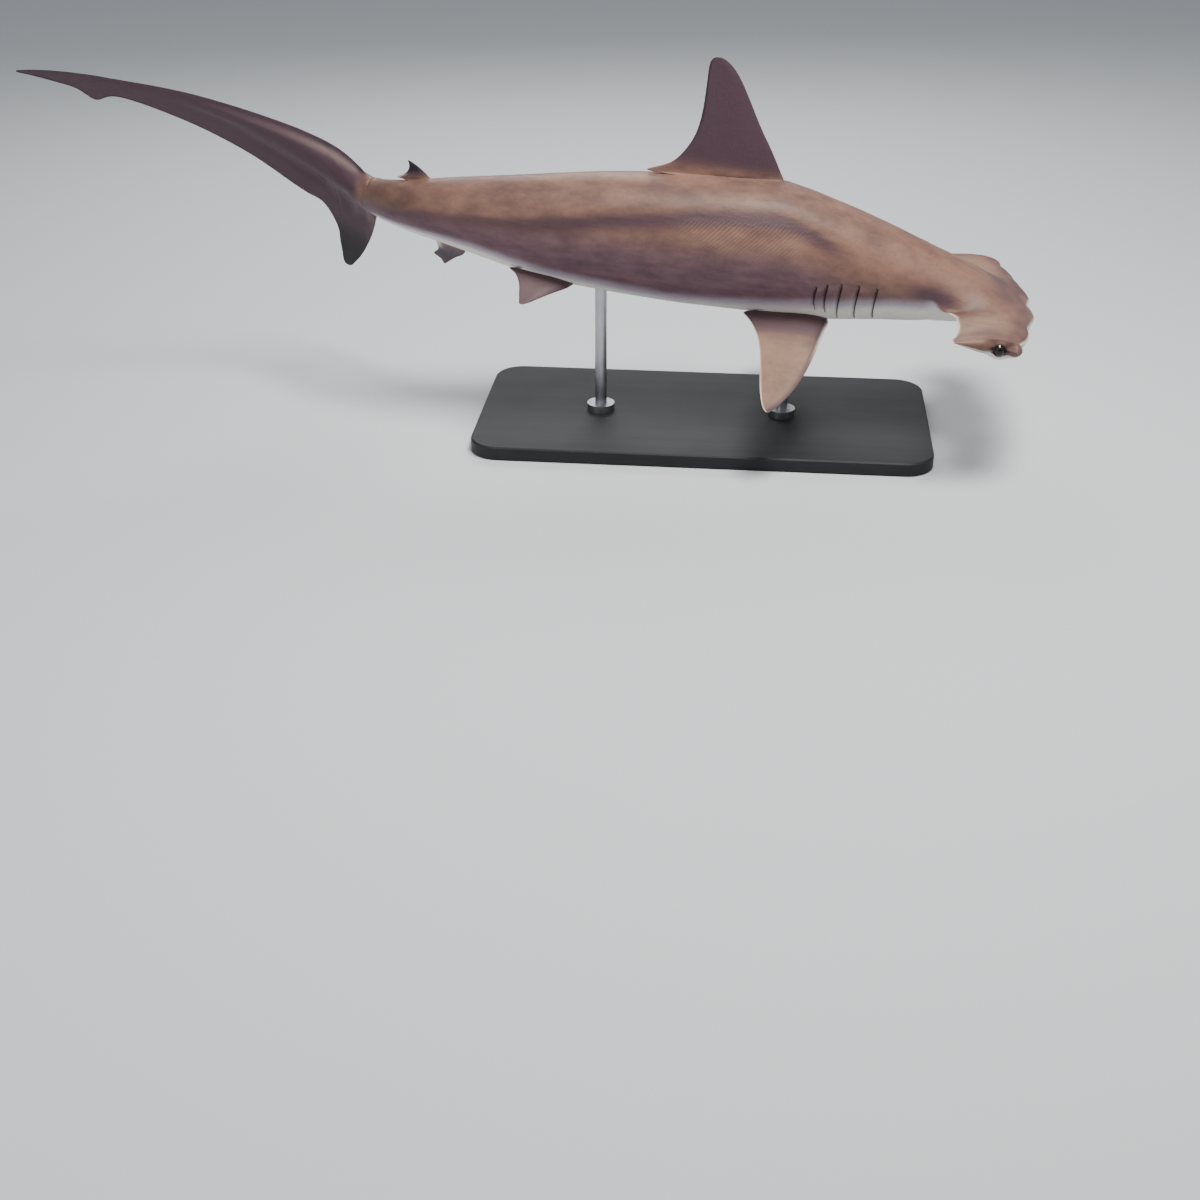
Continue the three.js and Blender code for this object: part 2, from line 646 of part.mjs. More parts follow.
function upright(back, radius, from, to, sections) {
  const foot = pose(back, 0, follow(BODY, 3, back));
  const post = new THREE.CylinderGeometry(radius, radius, to - from, sections);
  post.rotateX(Math.PI / 2);
  post.translate(foot.x, foot.y, (from + to) / 2);
  return solid(post);
}

function addStand() {
  addNode('stand_base', standBase(), material(0x2b2b2d, 0.45));
  ROD_BACKS.forEach((back, k) => {
    const foot = BASE.thick + SEAM;
    const belly = pose(back, 0, follow(BODY, 3, back)).z;
    const collar = upright(back, ROD.collarRadius, foot, foot + ROD.collarHeight, 28);
    const rod = upright(back, ROD.radius, foot, belly + 30, 24).subtract(nearBody).add(collar);
    addNode(`stand_rod_${['front', 'rear'][k]}`, rod, material(0xa4a7ab, 0.28, 0.9));
  });
}

addHead();
addNeck();
addTrunk();
addFins();
addCaudal();
addStand();

export default shark;
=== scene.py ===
import json
import math
from types import SimpleNamespace

import bmesh
import bpy
import numpy as np
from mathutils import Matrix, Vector
from mathutils.bvhtree import BVHTree

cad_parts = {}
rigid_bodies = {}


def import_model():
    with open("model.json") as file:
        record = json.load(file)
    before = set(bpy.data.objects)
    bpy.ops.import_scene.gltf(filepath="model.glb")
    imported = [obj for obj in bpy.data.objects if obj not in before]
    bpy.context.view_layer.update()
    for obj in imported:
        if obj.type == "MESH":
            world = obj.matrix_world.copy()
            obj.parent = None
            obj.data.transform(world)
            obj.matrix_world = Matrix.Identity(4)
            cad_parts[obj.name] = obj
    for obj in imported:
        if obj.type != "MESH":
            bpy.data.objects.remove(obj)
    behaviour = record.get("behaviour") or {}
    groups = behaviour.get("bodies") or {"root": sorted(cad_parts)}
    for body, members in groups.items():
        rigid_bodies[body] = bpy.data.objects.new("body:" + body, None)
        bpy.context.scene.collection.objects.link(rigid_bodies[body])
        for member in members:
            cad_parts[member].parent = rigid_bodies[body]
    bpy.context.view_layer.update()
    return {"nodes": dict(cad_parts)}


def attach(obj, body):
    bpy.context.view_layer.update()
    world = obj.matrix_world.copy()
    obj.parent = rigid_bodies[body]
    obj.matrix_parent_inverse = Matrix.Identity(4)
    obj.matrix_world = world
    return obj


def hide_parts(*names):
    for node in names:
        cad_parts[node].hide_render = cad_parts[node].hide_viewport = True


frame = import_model()

# The shark is built straight, in millimetres: distance back from the snout, side (left is
# positive) and level. It is then bent along its body line, with one point at the anchor.
MM = 0.001
ANCHOR = (0.062, 0.0, 0.405)
ANCHOR_BACK = 620
LINE_START, LINE_STEP, LINE_END = -120, 5, 2200

# Pose rows: distance back, yaw of the nose to the left, nose down, roll (degrees)
POSE = (
    (-20, -2, 9, 0), (300, -1, 6, 0), (620, 0, 5, 0), (950, 2, 5, -1), (1150, 0, 7, 0),
    (1300, -24, -1, 2), (1420, -41, 1, 6), (1540, -29, 8, 11), (1680, 2, 9, 23),
    (1850, 0, 5, 29), (2200, -12, -12, 32),
)

# Body sections: distance back, half width, top and bottom
BODY = (
    (130, 68, 4, -74), (160, 82, 22, -82), (190, 93, 40, -92), (215, 98, 50, -99.5),
    (260, 100, 65, -107), (300, 101, 79, -112), (350, 105, 95, -119), (400, 111, 110, -126),
    (450, 116, 124, -130), (500, 120, 137, -131), (560, 123, 147, -130), (640, 124, 145, -130),
    (720, 123, 141, -130), (800, 118, 135, -127), (900, 108, 126, -121), (1000, 94, 113, -112),
    (1075, 83, 101, -99), (1150, 71, 88, -84), (1210, 62, 77, -72), (1270, 53, 67, -61),
    (1330, 45, 58, -52), (1390, 38, 48, -45), (1430, 34, 42, -41), (1455, 32, 39, -40),
    (1490, 31, 46, -37), (1530, 27, 60, -28), (1575, 23, 76, -12), (1640, 18, 98, 20),
    (1720, 12, 126, 66), (1800, 7, 154, 112), (1880, 3, 180, 150),
)
BELLY_ROUND = 0.93

# The hammer: its middle level, edges by half width, half thickness, and the raised brow
HAMMER_LEVEL = -47
FRONT_EDGE = (
    (0, 5), (22, 0), (55, -8), (95, 1), (130, 11), (146, 15), (165, 13), (192, 17), (216, 24),
    (238, 35), (250, 42), (262, 37), (276, 37), (288, 46),
)
REAR_EDGE = (
    (0, 218), (92, 218), (101, 208), (108, 188), (120, 169), (140, 161), (178, 159), (220, 164),
    (256, 172), (280, 180), (288, 178),
)
TIP_START, TIP_LENGTH = 266, 22
WING_HALF_THICKNESS = ((0, 22), (120, 19.5), (200, 17), (250, 17.5), (288, 19))
BROW = (
    (-10, 190, -46, -48), (5, 175, -42, -54), (32, 150, -25, -68), (64, 130, -9, -74.5),
    (87, 118, 3, -77), (114, 108, 16, -79.5), (148, 100, 29, -83.5), (189, 96.5, 42, -92),
    (215, 97.4, 49.3, -98.6), (245, 99, 59, -104.3),
)
BROW_BLEND = 14
NO_BROW = -80
EYE_CENTRE = EYE_BACK, EYE_SIDE, EYE_LEVEL = 82, 268.5, -51
EYE_RADIUS = 15.5
MOUTH_FRONT, MOUTH_CORNER, MOUTH_HALF = 126, 190, 68
NOSTRIL_SIDE, NOSTRIL_BEHIND, GROOVE_ABOVE = 247, 6, -3

# Gill slits: distance back, first and last angle down from the back, reach of the flap
GILLS = (
    (325, 95, 150, 28), (363, 95, 150, 28), (399, 96, 149, 27), (428, 98, 134, 22),
    (450, 102, 131, 17),
)
GILL_BOW, GILL_SLANT = 4, 5
PIT_BACK, PIT_CURVE = 1449, 0.012
PORE = (154, 79, -26)

# The fold over the flank and the edge of the belly: distance back, angle down from the back
FLANK_FOLD = (
    (330, 66), (418, 58), (526, 47), (620, 48), (709, 51), (882, 60), (1100, 74), (1350, 84),
)
BELLY_LINE = (
    (150, 100), (240, 106), (330, 112), (450, 122), (600, 134), (800, 138), (1000, 134),
    (1200, 128), (1450, 122),
)

# Fins: root place, tilt, and rows of height, leading edge, trailing edge and thickness
FINS = {
    "first dorsal": dict(
        back=542, side=0, level=143, tilt=90, drop=0.045,
        rows=((8, 4, 286, 22), (20, 12, 255, 19), (37, 21, 226, 17), (70, 40, 202, 13.5),
              (107, 63, 189, 10.5), (156, 90, 184, 7.5), (208, 121, 183, 5), (234, 146, 180, 3.6),
              (241, 159, 171, 2)),
    ),
    "second dorsal": dict(
        back=1273, side=0, level=66, tilt=90, drop=0.14,
        rows=((4, 3, 80, 8.5), (7, 6, 88, 7.5), (12, 10, 68, 6.5), (20, 19, 55, 5.5),
              (29, 30, 50, 4), (37, 42, 51, 3), (41, 50, 52, 1.8)),
    ),
    "anal": dict(
        back=1205, side=0, level=-71, tilt=-90, drop=-0.13,
        rows=((4, -8, 64, 10), (10, -9, 62, 9), (18, -3, 59, 7.5), (26, 11, 66, 6.2),
              (33, 21, 72, 5), (38, 28, 59, 4), (43, 35, 51, 3), (48, 42, 47, 1.8)),
    ),
    "pectoral": dict(
        back=432, side=64, level=-111, tilt=-27, drop=0,
        rows=((6, -18, 150, 24), (14, -18, 159, 22), (30, -14, 146, 20), (73, -4, 126, 17),
              (129, 10.5, 116.5, 12), (180, 28, 113, 8.5), (224, 49, 109, 6), (255, 69, 103, 4.4),
              (268, 79, 98, 3.2), (274, 88, 94, 2)),
    ),
    "pelvic": dict(
        back=962, side=48, level=-99, tilt=-36, drop=-0.15,
        rows=((5, -5, 127, 13), (12, 0, 120, 12), (22, 9, 111, 11), (40, 32, 103.5, 8),
              (62, 58, 100.5, 5), (80, 78, 98, 3.4), (88, 90, 97, 2)),
    ),
}
FIN_EDGE = 1.3

# Tail fin: along its upper edge, the upper and lower margin below it, and thickness
CAUDAL_BACK, CAUDAL_LEVEL, CAUDAL_RISE = 1454, 39, math.radians(20)
UPPER_LOBE = (
    (-6, 4, 60, 12), (40, -5, 118, 15), (94, -9, 153, 14), (140, -7, 150, 12.5),
    (183, -4, 143, 11.5), (273, -1, 120, 9.5), (340, 1, 105, 8), (412, 4, 91, 6.5),
    (483, 11, 80, 5.2), (550, 19, 71, 4.2), (576, 21, 72, 3.9), (592, 22, 84, 3.7),
    (606, 22, 93, 3.5), (618, 23, 86, 3.3), (632, 24, 72, 3.1), (680, 28, 58, 2.6),
    (722, 34, 48, 2.1), (745, 39, 43, 1.8),
)
LOWER_LOBE_BACK, LOWER_LOBE_LEVEL = 1452, -20
LOWER_LOBE = (
    (-8, 8, 124, 26), (12, 4, 130, 24), (32, 6, 131, 20), (68, 20, 128, 14),
    (100, 37, 125, 10), (130, 55, 123, 7), (155, 71, 121, 5), (175, 87, 119, 3.6),
    (188, 99, 118, 2.6), (195, 107, 115, 1.8),
)


def follow(table, column, at):
    """A smooth curve through the rows of a table, with no overshoot."""
    x, y = (np.array([row[k] for row in table], float) for k in (0, column))
    steps = np.diff(y) / np.diff(x)
    slopes = np.concatenate([steps[:1], np.zeros(len(y) - 2), steps[-1:]])
    product = steps[:-1] * steps[1:]
    total = np.where(product > 0, steps[:-1] + steps[1:], 1)
    slopes[1:-1] = np.where(product > 0, 2 * product / total, 0)
    at = np.clip(np.asarray(at, float), x[0], x[-1])
    k = np.clip(np.searchsorted(x, at) - 1, 0, len(steps) - 1)
    span = x[k + 1] - x[k]
    t = (at - x[k]) / span
    start = (2 * t**3 - 3 * t**2 + 1) * y[k] + (t**3 - 2 * t**2 + t) * slopes[k] * span
    end = (3 * t**2 - 2 * t**3) * y[k + 1] + (t**3 - t**2) * slopes[k + 1] * span
    return start + end


def columns(table, at):
    return (follow(table, column, at) for column in range(1, len(table[0])))


def make_body_line():
    """Centres and directions along the bent body line."""
    back = np.arange(LINE_START, LINE_END + 1, LINE_STEP, dtype=float)
    yaw, down, roll = map(np.radians, columns(POSE, back))
    zero = np.zeros_like(back)
    forward = np.stack([np.cos(down) * np.cos(yaw), np.cos(down) * np.sin(yaw), -np.sin(down)], 1)
    flat_left = np.stack([-np.sin(yaw), np.cos(yaw), zero], 1)
    upright = np.cross(forward, flat_left)
    cos, sin = np.cos(roll)[:, None], np.sin(roll)[:, None]
    up = upright * cos - flat_left * sin
    left = flat_left * cos + upright * sin
    centre = np.zeros_like(forward)
    centre[1:] = -np.cumsum((forward[1:] + forward[:-1]) / 2 * LINE_STEP, 0)
    centre -= centre[(ANCHOR_BACK - LINE_START) // LINE_STEP]
    return back, centre, left, up


BODY_LINE = make_body_line()


def pose(points):
    """Takes straight-shark points to their place on the stand, in metres."""
    line, *tables = BODY_LINE
    centre, left, up = (
        np.stack([np.interp(points[:, 0], line, axis) for axis in table.T], 1)
        for table in tables)
    return (centre + left * points[:, 1:2] + up * points[:, 2:3]) * MM + ANCHOR


def smooth(low, high, value):
    """0 below low, 1 above high, and an easy slope between."""
    t = np.clip((np.asarray(value, float) - low) / (high - low), 0, 1)
    return t * t * (3 - 2 * t)


def window(value, start, full, fading, end):
    """1 from full to fading, with easy slopes from start and to end."""
    return smooth(start, full, value) * smooth(end, fading, value)


def bump_at(value, centre, width):
    """1 at the centre, fading to 0 at a distance of width."""
    return 1 - smooth(0, width, np.abs(value - centre))


# Body and hammer forms
def body_point(back, angle):
    """Side and level of the body's outline at an angle down from the back."""
    half, top, bottom = columns(BODY, back)
    middle = (top + bottom) / 2
    up = np.cos(angle)
    rise = np.where(up > 0, up, -np.abs(up) ** BELLY_ROUND)
    return half * np.sin(angle), middle + (top - middle) * rise


def wing_profile(x):
    """Thickness along the wing's chord: round in front, thin behind."""
    nose, full = 0.24, 0.46
    front = np.sqrt(np.clip(1 - (1 - x / nose) ** 2, 0, 1))
    rear = 1 - 0.88 * (np.clip(x - full, 0, 1) / (1 - full)) ** 1.35
    return np.where(x < nose, front, rear)


def hammer_height(back, side, above):
    """Height of the hammer over its middle level, with the brow blended in."""
    across = abs(side)
    front = follow(FRONT_EDGE, 1, across)
    rear = follow(REAR_EDGE, 1, across)
    x = np.clip((back - front) / (rear - front), 0, 1)
    tip = math.sqrt(max(0, 1 - (max(0, across - TIP_START) / TIP_LENGTH) ** 2))
    wing = follow(WING_HALF_THICKNESS, 1, across) * wing_profile(x) * tip
    half, top, bottom = columns(BROW, back)
    middle = (top + bottom) / 2
    arch = math.sqrt(max(0, 1 - (across / half) ** 2))
    centre = middle - HAMMER_LEVEL if above else HAMMER_LEVEL - middle
    brow = centre + (top - bottom) / 2 * arch if across < half else NO_BROW
    blend = BROW_BLEND * min(1, wing / 8)
    soft = (wing + brow + math.sqrt((wing - brow) ** 2 + blend**2)) / 2 - 0.1 * blend
    return min(max(wing, soft), wing + 90 * math.sqrt(min(1, x * 4)))


def fin_profile(x):
    """Half thickness along the chord: blunt in front, thin behind."""
    return min(1, 2.1 * math.sqrt(x) * (1 - 0.42 * x)) * (1 - 0.72 * max(0, x - 0.3) / 0.7)


# Cage: the hammer is a folded grid, the body grows out of its rear, the fins out of the body
SPANS = (288, 285, 277, 263, 250, 238, 214, 186, 163, 145, 122, 104, 76, 46, 18, 0)
SPANS = SPANS + tuple(-span for span in SPANS[-2::-1])
NECK_SPANS = 4
CHORDS = (1, 0.92, 0.72, 0.5, 0.31, 0.16, 0.05, 0)
LAST_ROW = 2 * (len(CHORDS) - 1)
NECK_ROWS = 2
NECK_JOIN, NECK_WIDTH = 190, 110
# Lengthwise lines, by their angle down from the back; vertices inside the body have none
TURNS = np.radians((0, 7, 24, 44, 64, 84, 103, 121, 138, 148, 158, 172, 180))
SIDE_TURN, LOWEST_TURN = 6, 12
INSIDE = 99
INSIDE_ROWS, INSIDE_COLUMNS = 4.4, 4.6
STATIONS = (
    210, 230, 254, 282, 310, 338, 366, 392, 414, 432, 460, 488, 516, 544, 581, 618, 655, 692,
    729, 764, 800, 840, 880, 922, 962, 987, 1012, 1037, 1060, 1095, 1130, 1168, 1205, 1228,
    1251, 1273, 1292, 1311, 1329, 1352, 1376, 1400, 1422, 1440, 1453,
)
CHORD_START, CHORD_RUN, CHORD_EASE = 0.045, 0.92, 1.12
# Lines over the tail fin's lower lobe: distance along the upper edge, depth on the lobe, and
# whether they end on its rear margin
LOBE_LINES = (
    (12, 42, 0), (28, 80, 0), (45, 118, 0), (60, 150, 0), (74, 174, 0), (86, 190, 0),
    (96, 190, 1), (106, 165, 1), (116, 130, 1), (127, 98, 1),
)
# Lines over the rest of it: distance along the upper edge, and along the lower one
FIN_LINES = (
    (140, 104), (160, 138), (185, 175), (215, 213), (250, 250), (290, 290), (335, 335),
    (380, 380), (425, 425), (470, 470), (510, 510), (545, 545), (570, 570), (586, 588),
    (600, 603), (616, 620), (636, 640), (664, 666), (697, 697), (724, 724), (743, 743),
)
BLADE_SHARES = (0, 0.03, 0.09, 0.17, 0.26, 0.36, 0.47, 0.59, 0.71, 0.82, 0.91, 0.97, 1)


def on_upper_lobe(along, column):
    """A point on the upper (1) or lower (2) margin of the upper lobe."""
    below = follow(UPPER_LOBE, column, along)
    back = CAUDAL_BACK + along * math.cos(CAUDAL_RISE) + below * math.sin(CAUDAL_RISE)
    level = CAUDAL_LEVEL + along * math.sin(CAUDAL_RISE) - below * math.cos(CAUDAL_RISE)
    return np.array([back, level])


def tail_line(k):
    """Both ends of line k over the tail fin, and the blade's thickness there."""
    if k < len(LOBE_LINES):
        along, depth, rear = LOBE_LINES[k]
        column = 2 if rear else 1
        low = np.array([
            LOWER_LOBE_BACK + follow(LOWER_LOBE, column, depth), LOWER_LOBE_LEVEL - depth,
        ])
        low_thick = follow(LOWER_LOBE, 3, depth)
    else:
        along, below = FIN_LINES[k - len(LOBE_LINES)]
        low = on_upper_lobe(below, 2)
        low_thick = follow(UPPER_LOBE, 3, below)
    return on_upper_lobe(along, 1), low, follow(UPPER_LOBE, 3, along), low_thick


def tail_point(k, turn):
    """A point where the body's rear end runs out into a thin blade."""
    top, low, top_thick, low_thick = tail_line(k)
    round_share = (1 - math.cos(TURNS[turn])) / 2
    ease = float(smooth(-1, 6, k))
    share = round_share * (1 - ease) + BLADE_SHARES[turn] * ease
    back, level = top + (low - top) * share
    if turn in (0, LOWEST_TURN):
        return back, 0.0, level
    half, high, bottom = columns(BODY, back)
    if back > BODY[-1][0]:
        half = 0
    reach = min(1, abs((level - (high + bottom) / 2) / ((high - bottom) / 2)))
    core = half * math.sqrt(1 - reach**2)
    thick = top_thick + (low_thick - top_thick) * share
    blade = max(thick / 2 * fin_profile(share), FIN_EDGE / 2)
    return back, math.hypot(core, blade), level


def tail_marks(line, turn):
    """The tail fin's marks: its upper edge leads, its lower edge trails."""
    top, low, _, _ = tail_line(line)
    long = float(np.linalg.norm(low - top))
    share = BLADE_SHARES[turn]
    total = len(LOBE_LINES) + len(FIN_LINES) - 1
    return float(smooth(-2, 4, line)), line / total, share, share * long, (1 - share) * long


def ring_point(ring, turn, hand):
    if ring < len(STATIONS):
        back = STATIONS[ring]
        side, level = body_point(back, TURNS[turn])
    else:
        back, side, level = tail_point(ring - len(STATIONS), turn)
    return Vector((back, float(side) * hand, float(level)))


# Kept on every vertex: its station, lengthwise line, side, and place over the neck
SPOTS = ("ring", "turn", "hand", "across", "rise")
# Kept too: fin or body, share of the fin's height and of its chord, gaps to its edges
MARKS = ("fin", "height", "chord", "front_gap", "rear_gap")
BODY_MARKS = (0, 0, 0.5, 90, 90)

# Fitting the cage to the measured points, and the levels of the finest and the kept skin
FIT_ROUNDS, FIT_STEP = 4, 0.85
FINE_LEVELS, KEPT_LEVELS = 4, 2
SKIN_REACH = 20


def select_only(obj):
    bpy.ops.object.select_all(action="DESELECT")
    bpy.context.view_layer.objects.active = obj
    obj.select_set(True)


def edit_only(obj, part="FACE"):
    """Goes into edit mode with nothing selected."""
    select_only(obj)
    bpy.ops.object.mode_set(mode="EDIT")
    bpy.ops.mesh.select_mode(type=part)
    bpy.ops.mesh.select_all(action="DESELECT")


def leave_edit():
    bpy.ops.object.mode_set(mode="OBJECT")


def spot_layers(shell):
    return [shell.verts.layers.int[name] for name in SPOTS]


def hammer_place(column, row):
    """Where a vertex of the folded grid goes."""
    side = SPANS[column]
    fold = len(CHORDS) - 1
    above = row <= fold
    x = CHORDS[row] if above else CHORDS[LAST_ROW - row]
    front = follow(FRONT_EDGE, 1, abs(side))
    rear = follow(REAR_EDGE, 1, abs(side))
    if abs(side) < NECK_WIDTH:
        rear = min(rear, NECK_JOIN)
    back = front + (rear - front) * x
    height = 0 if x in (0, 1) or abs(side) == SPANS[0] else hammer_height(back, side, above)
    return Vector((back, side, HAMMER_LEVEL + (height if above else -height)))


def add_hammer():
    """Folds a grid over the front edge into the hammer."""
    last_column = len(SPANS) - 1
    bpy.ops.mesh.primitive_grid_add(
        x_subdivisions=last_column, y_subdivisions=LAST_ROW, size=2)
    obj = bpy.context.object
    obj.name = "shark_skin"
    for name in SPOTS:
        obj.data.attributes.new(name, "INT", "POINT")
    for name, value in zip(MARKS, BODY_MARKS):
        layer = obj.data.attributes.new(name, "FLOAT", "POINT")
        layer.data.foreach_set("value", [value] * len(obj.data.vertices))
    edit_only(obj)
    shell = bmesh.from_edit_mesh(obj.data)
    ring, turn, hand, across, rise = spot_layers(shell)
    middle = last_column // 2
    for vertex in shell.verts:
        column = round((vertex.co.x + 1) / 2 * last_column)
        row = round((vertex.co.y + 1) / 2 * LAST_ROW)
        vertex.co = hammer_place(column, row)
        step = middle - column
        height = row if row <= LAST_ROW // 2 else row - LAST_ROW
        inside = abs(step) <= NECK_SPANS and abs(height) <= NECK_ROWS
        vertex[ring] = -1 if inside else -9
        vertex[across] = step
        vertex[rise] = height
        vertex[hand] = (step > 0) - (step < 0)
        vertex[turn] = neck_turn(step, height) if inside else INSIDE
    bmesh.update_edit_mesh(obj.data)
    bpy.ops.mesh.select_all(action="SELECT")
    bpy.ops.mesh.remove_doubles(threshold=0.01)
    bpy.ops.mesh.normals_make_consistent(inside=False)
    if bmesh.from_edit_mesh(obj.data).calc_volume(signed=True) < 0:
        bpy.ops.mesh.flip_normals()
    bpy.ops.mesh.select_all(action="DESELECT")
    leave_edit()
    return obj


def neck_turn(step, height):
    """The lengthwise line that starts at a vertex of the hammer's rear."""
    step = abs(step)
    if height == NECK_ROWS:
        return step
    if height == -NECK_ROWS:
        return len(TURNS) - 1 - step
    return NECK_SPANS + NECK_ROWS - height if step == NECK_SPANS else INSIDE


def select_faces(obj, wanted):
    """Selects the faces whose vertices are all wanted."""
    shell = bmesh.from_edit_mesh(obj.data)
    spots = spot_layers(shell)
    for face in shell.faces:
        face.select = all(wanted(*(vertex[spot] for spot in spots)) for vertex in face.verts)
    bmesh.update_edit_mesh(obj.data)


def grow(obj, place):
    """Extrudes the selected faces once, then moves and marks the new vertices."""
    bpy.ops.mesh.extrude_region_move()
    shell = bmesh.from_edit_mesh(obj.data)
    spots = spot_layers(shell)
    marks = [shell.verts.layers.float[name] for name in MARKS]
    for vertex in shell.verts:
        if vertex.select:
            vertex.co, station, values = place(*(vertex[spot] for spot in spots))
            vertex[spots[0]] = station
            for mark, value in zip(marks, values):
                vertex[mark] = value
    bmesh.update_edit_mesh(obj.data)


def grow_body(obj):
    edit_only(obj)
    select_faces(obj, lambda ring, *others: ring == -1)
    total = len(STATIONS) + len(LOBE_LINES) + len(FIN_LINES)
    for number in range(total):
        def place(ring, turn, hand, across, rise):
            line = number - len(STATIONS)
            if turn != INSIDE:
                marks = tail_marks(line, turn) if line >= 0 else BODY_MARKS
                return ring_point(number, turn, hand), number, marks
            lowest = ring_point(number, LOWEST_TURN, 0)
            spot = ring_point(number, 0, 0).lerp(lowest, 0.5 - rise / INSIDE_ROWS)
            spot.y = ring_point(number, SIDE_TURN, 1).y * across / INSIDE_COLUMNS
            return spot, number, BODY_MARKS
        grow(obj, place)
    leave_edit()


def grow_fin(obj, name, turns, first, last, hand=0):
    """Grows a fin out of the faces between two stations and a few lengthwise lines."""
    shape = FINS[name]
    tilt = math.radians(shape["tilt"])
    start, end = STATIONS.index(first), STATIONS.index(last)
    middle = turns[1] if hand else 0 if 0 in turns else LOWEST_TURN
    edit_only(obj)
    select_faces(obj, lambda ring, turn, side, *others: (
        start <= ring <= end and turn in turns and side * hand >= abs(hand)))
    for row in shape["rows"]:
        def place(ring, turn, side, *others):
            height, front, rear, thick = row
            share = (ring - start) / (end - start)
            x = CHORD_START + CHORD_RUN * share**CHORD_EASE
            face = 0 if turn == middle else side
            if turn == middle:
                x = 0 if ring == start else 1 if ring == end else x
            elif hand:
                face = 1 if turn < middle else -1
            half = max(thick / 2 * fin_profile(x), FIN_EDGE / 2) * face
            chord = front + (rear - front) * x
            level = shape["level"] - shape["drop"] * chord + height * math.sin(tilt)
            marks = (1, height / shape["rows"][-1][0], x, chord - front, rear - chord)
            spot = Vector((shape["back"] + chord, half, level))
            if hand:
                out = shape["side"] + height * math.cos(tilt) - half * math.sin(tilt)
                spot.yz = hand * out, level + half * math.cos(tilt)
            return spot, ring, marks
        grow(obj, place)
    leave_edit()


def grow_fins(obj):
    grow_fin(obj, "first dorsal", (0, 1), 544, 764)
    grow_fin(obj, "second dorsal", (0, 1), 1273, 1329)
    grow_fin(obj, "anal", (11, 12), 1205, 1273)
    for hand in (1, -1):
        grow_fin(obj, "pectoral", (8, 9, 10), 414, 544, hand)
        grow_fin(obj, "pelvic", (8, 9, 10), 962, 1060, hand)


def read(items, name, width=3):
    """One measure of all vertices or faces, as rows of numbers."""
    flat = np.zeros(len(items) * width, np.float32)
    items.foreach_get(name, flat)
    return flat.reshape(-1, width).astype(float)


def coordinates(mesh):
    return read(mesh.vertices, "co")


def mark(mesh, name):
    return read(mesh.attributes[name].data, "value", 1)[:, 0]


def keep(mesh, name, values, kind="FLOAT"):
    """Keeps a measure on every vertex, for the materials to read."""
    layer = mesh.attributes.get(name) or mesh.attributes.new(name, kind, "POINT")
    field = "value" if kind == "FLOAT" else "vector"
    layer.data.foreach_set(field, np.asarray(values, np.float32).ravel())


def set_coordinates(mesh, points):
    mesh.vertices.foreach_set("co", points.astype(np.float32).ravel())
    mesh.update()


def set_levels(modifier, levels):
    modifier.levels = levels
    modifier.render_levels = levels


def fit_cage(obj):
    """Moves the cage so that its smooth surface passes through the measured points."""
    target = coordinates(obj.data)
    cage = target.copy()
    modifier = obj.modifiers.new("smooth", "SUBSURF")
    set_levels(modifier, 1)
    modifier.use_limit_surface = True
    for _ in range(FIT_ROUNDS):
        set_coordinates(obj.data, cage)
        graph = bpy.context.evaluated_depsgraph_get()
        reached = coordinates(obj.evaluated_get(graph).data)[: len(target)]
        cage += FIT_STEP * (target - reached)
    set_coordinates(obj.data, cage)
    set_levels(modifier, FINE_LEVELS)
    graph = bpy.context.evaluated_depsgraph_get()
    smooth_skin = BVHTree.FromObject(obj, graph)
    set_levels(modifier, KEPT_LEVELS)
    select_only(obj)
    bpy.ops.object.modifier_apply(modifier=modifier.name)
    return smooth_skin


def edit_these(obj, part, wanted):
    """Goes into edit mode with only the wanted faces or vertices selected."""
    edit_only(obj, part)
    shell = bmesh.from_edit_mesh(obj.data)
    items = list(shell.faces if part == "FACE" else shell.verts)
    for k in np.flatnonzero(wanted):
        items[k].select = True
    bmesh.update_edit_mesh(obj.data)


def refine(obj, smooth_skin, near, reach):
    """Splits the faces near a detail once and lays the new vertices on the smooth skin."""
    mesh = obj.data
    before = len(mesh.vertices)
    edit_these(obj, "FACE", near(folded(read(mesh.polygons, "center")), *reach))
    bpy.ops.mesh.subdivide(number_cuts=1)
    leave_edit()
    points = coordinates(mesh)
    for k in range(before, len(points)):
        nearest = smooth_skin.find_nearest(points[k], SKIN_REACH)[0]
        if nearest:
            points[k] = nearest
    set_coordinates(mesh, points)


# Where the details of the skin lie. The points come with the right side folded over the left
def folded(points):
    return np.stack([points[:, 0], np.abs(points[:, 1]), points[:, 2]], 1)


def degrees_down(points):
    """Angle down from the back round the body, for points near its surface."""
    back, side, level = points.T
    half, top, bottom = columns(BODY, back)
    middle = (top + bottom) / 2
    rise = (level - middle) / (top - middle)
    up = np.sign(rise) * np.abs(rise) ** np.where(rise > 0, 1, 1 / BELLY_ROUND)
    return np.degrees(np.arctan2(side / half, up))


def gill_lines(points):
    """For every slit: distance behind it, and share of its length from its upper end."""
    down = degrees_down(points)
    for back, first, last, reach in GILLS:
        t = (down - first) / (last - first)
        bow = GILL_BOW * np.sin(math.pi * np.clip(t, 0, 1)) - GILL_SLANT * t
        yield points[:, 0] - back - bow, t


def mouth_line(points):
    """Distance behind the line of the mouth, and how far along it towards a corner."""
    bow = points[:, 1] / MOUTH_HALF
    sweep = MOUTH_CORNER - MOUTH_FRONT
    slope = 2 * sweep * bow / MOUTH_HALF
    return (points[:, 0] - MOUTH_FRONT - sweep * bow**2) / np.sqrt(1 + slope**2), bow


def front_gap(points):
    """Distance behind the hammer's front edge, and above its middle level."""
    return points[:, 0] - follow(FRONT_EDGE, 1, points[:, 1]), points[:, 2] - HAMMER_LEVEL


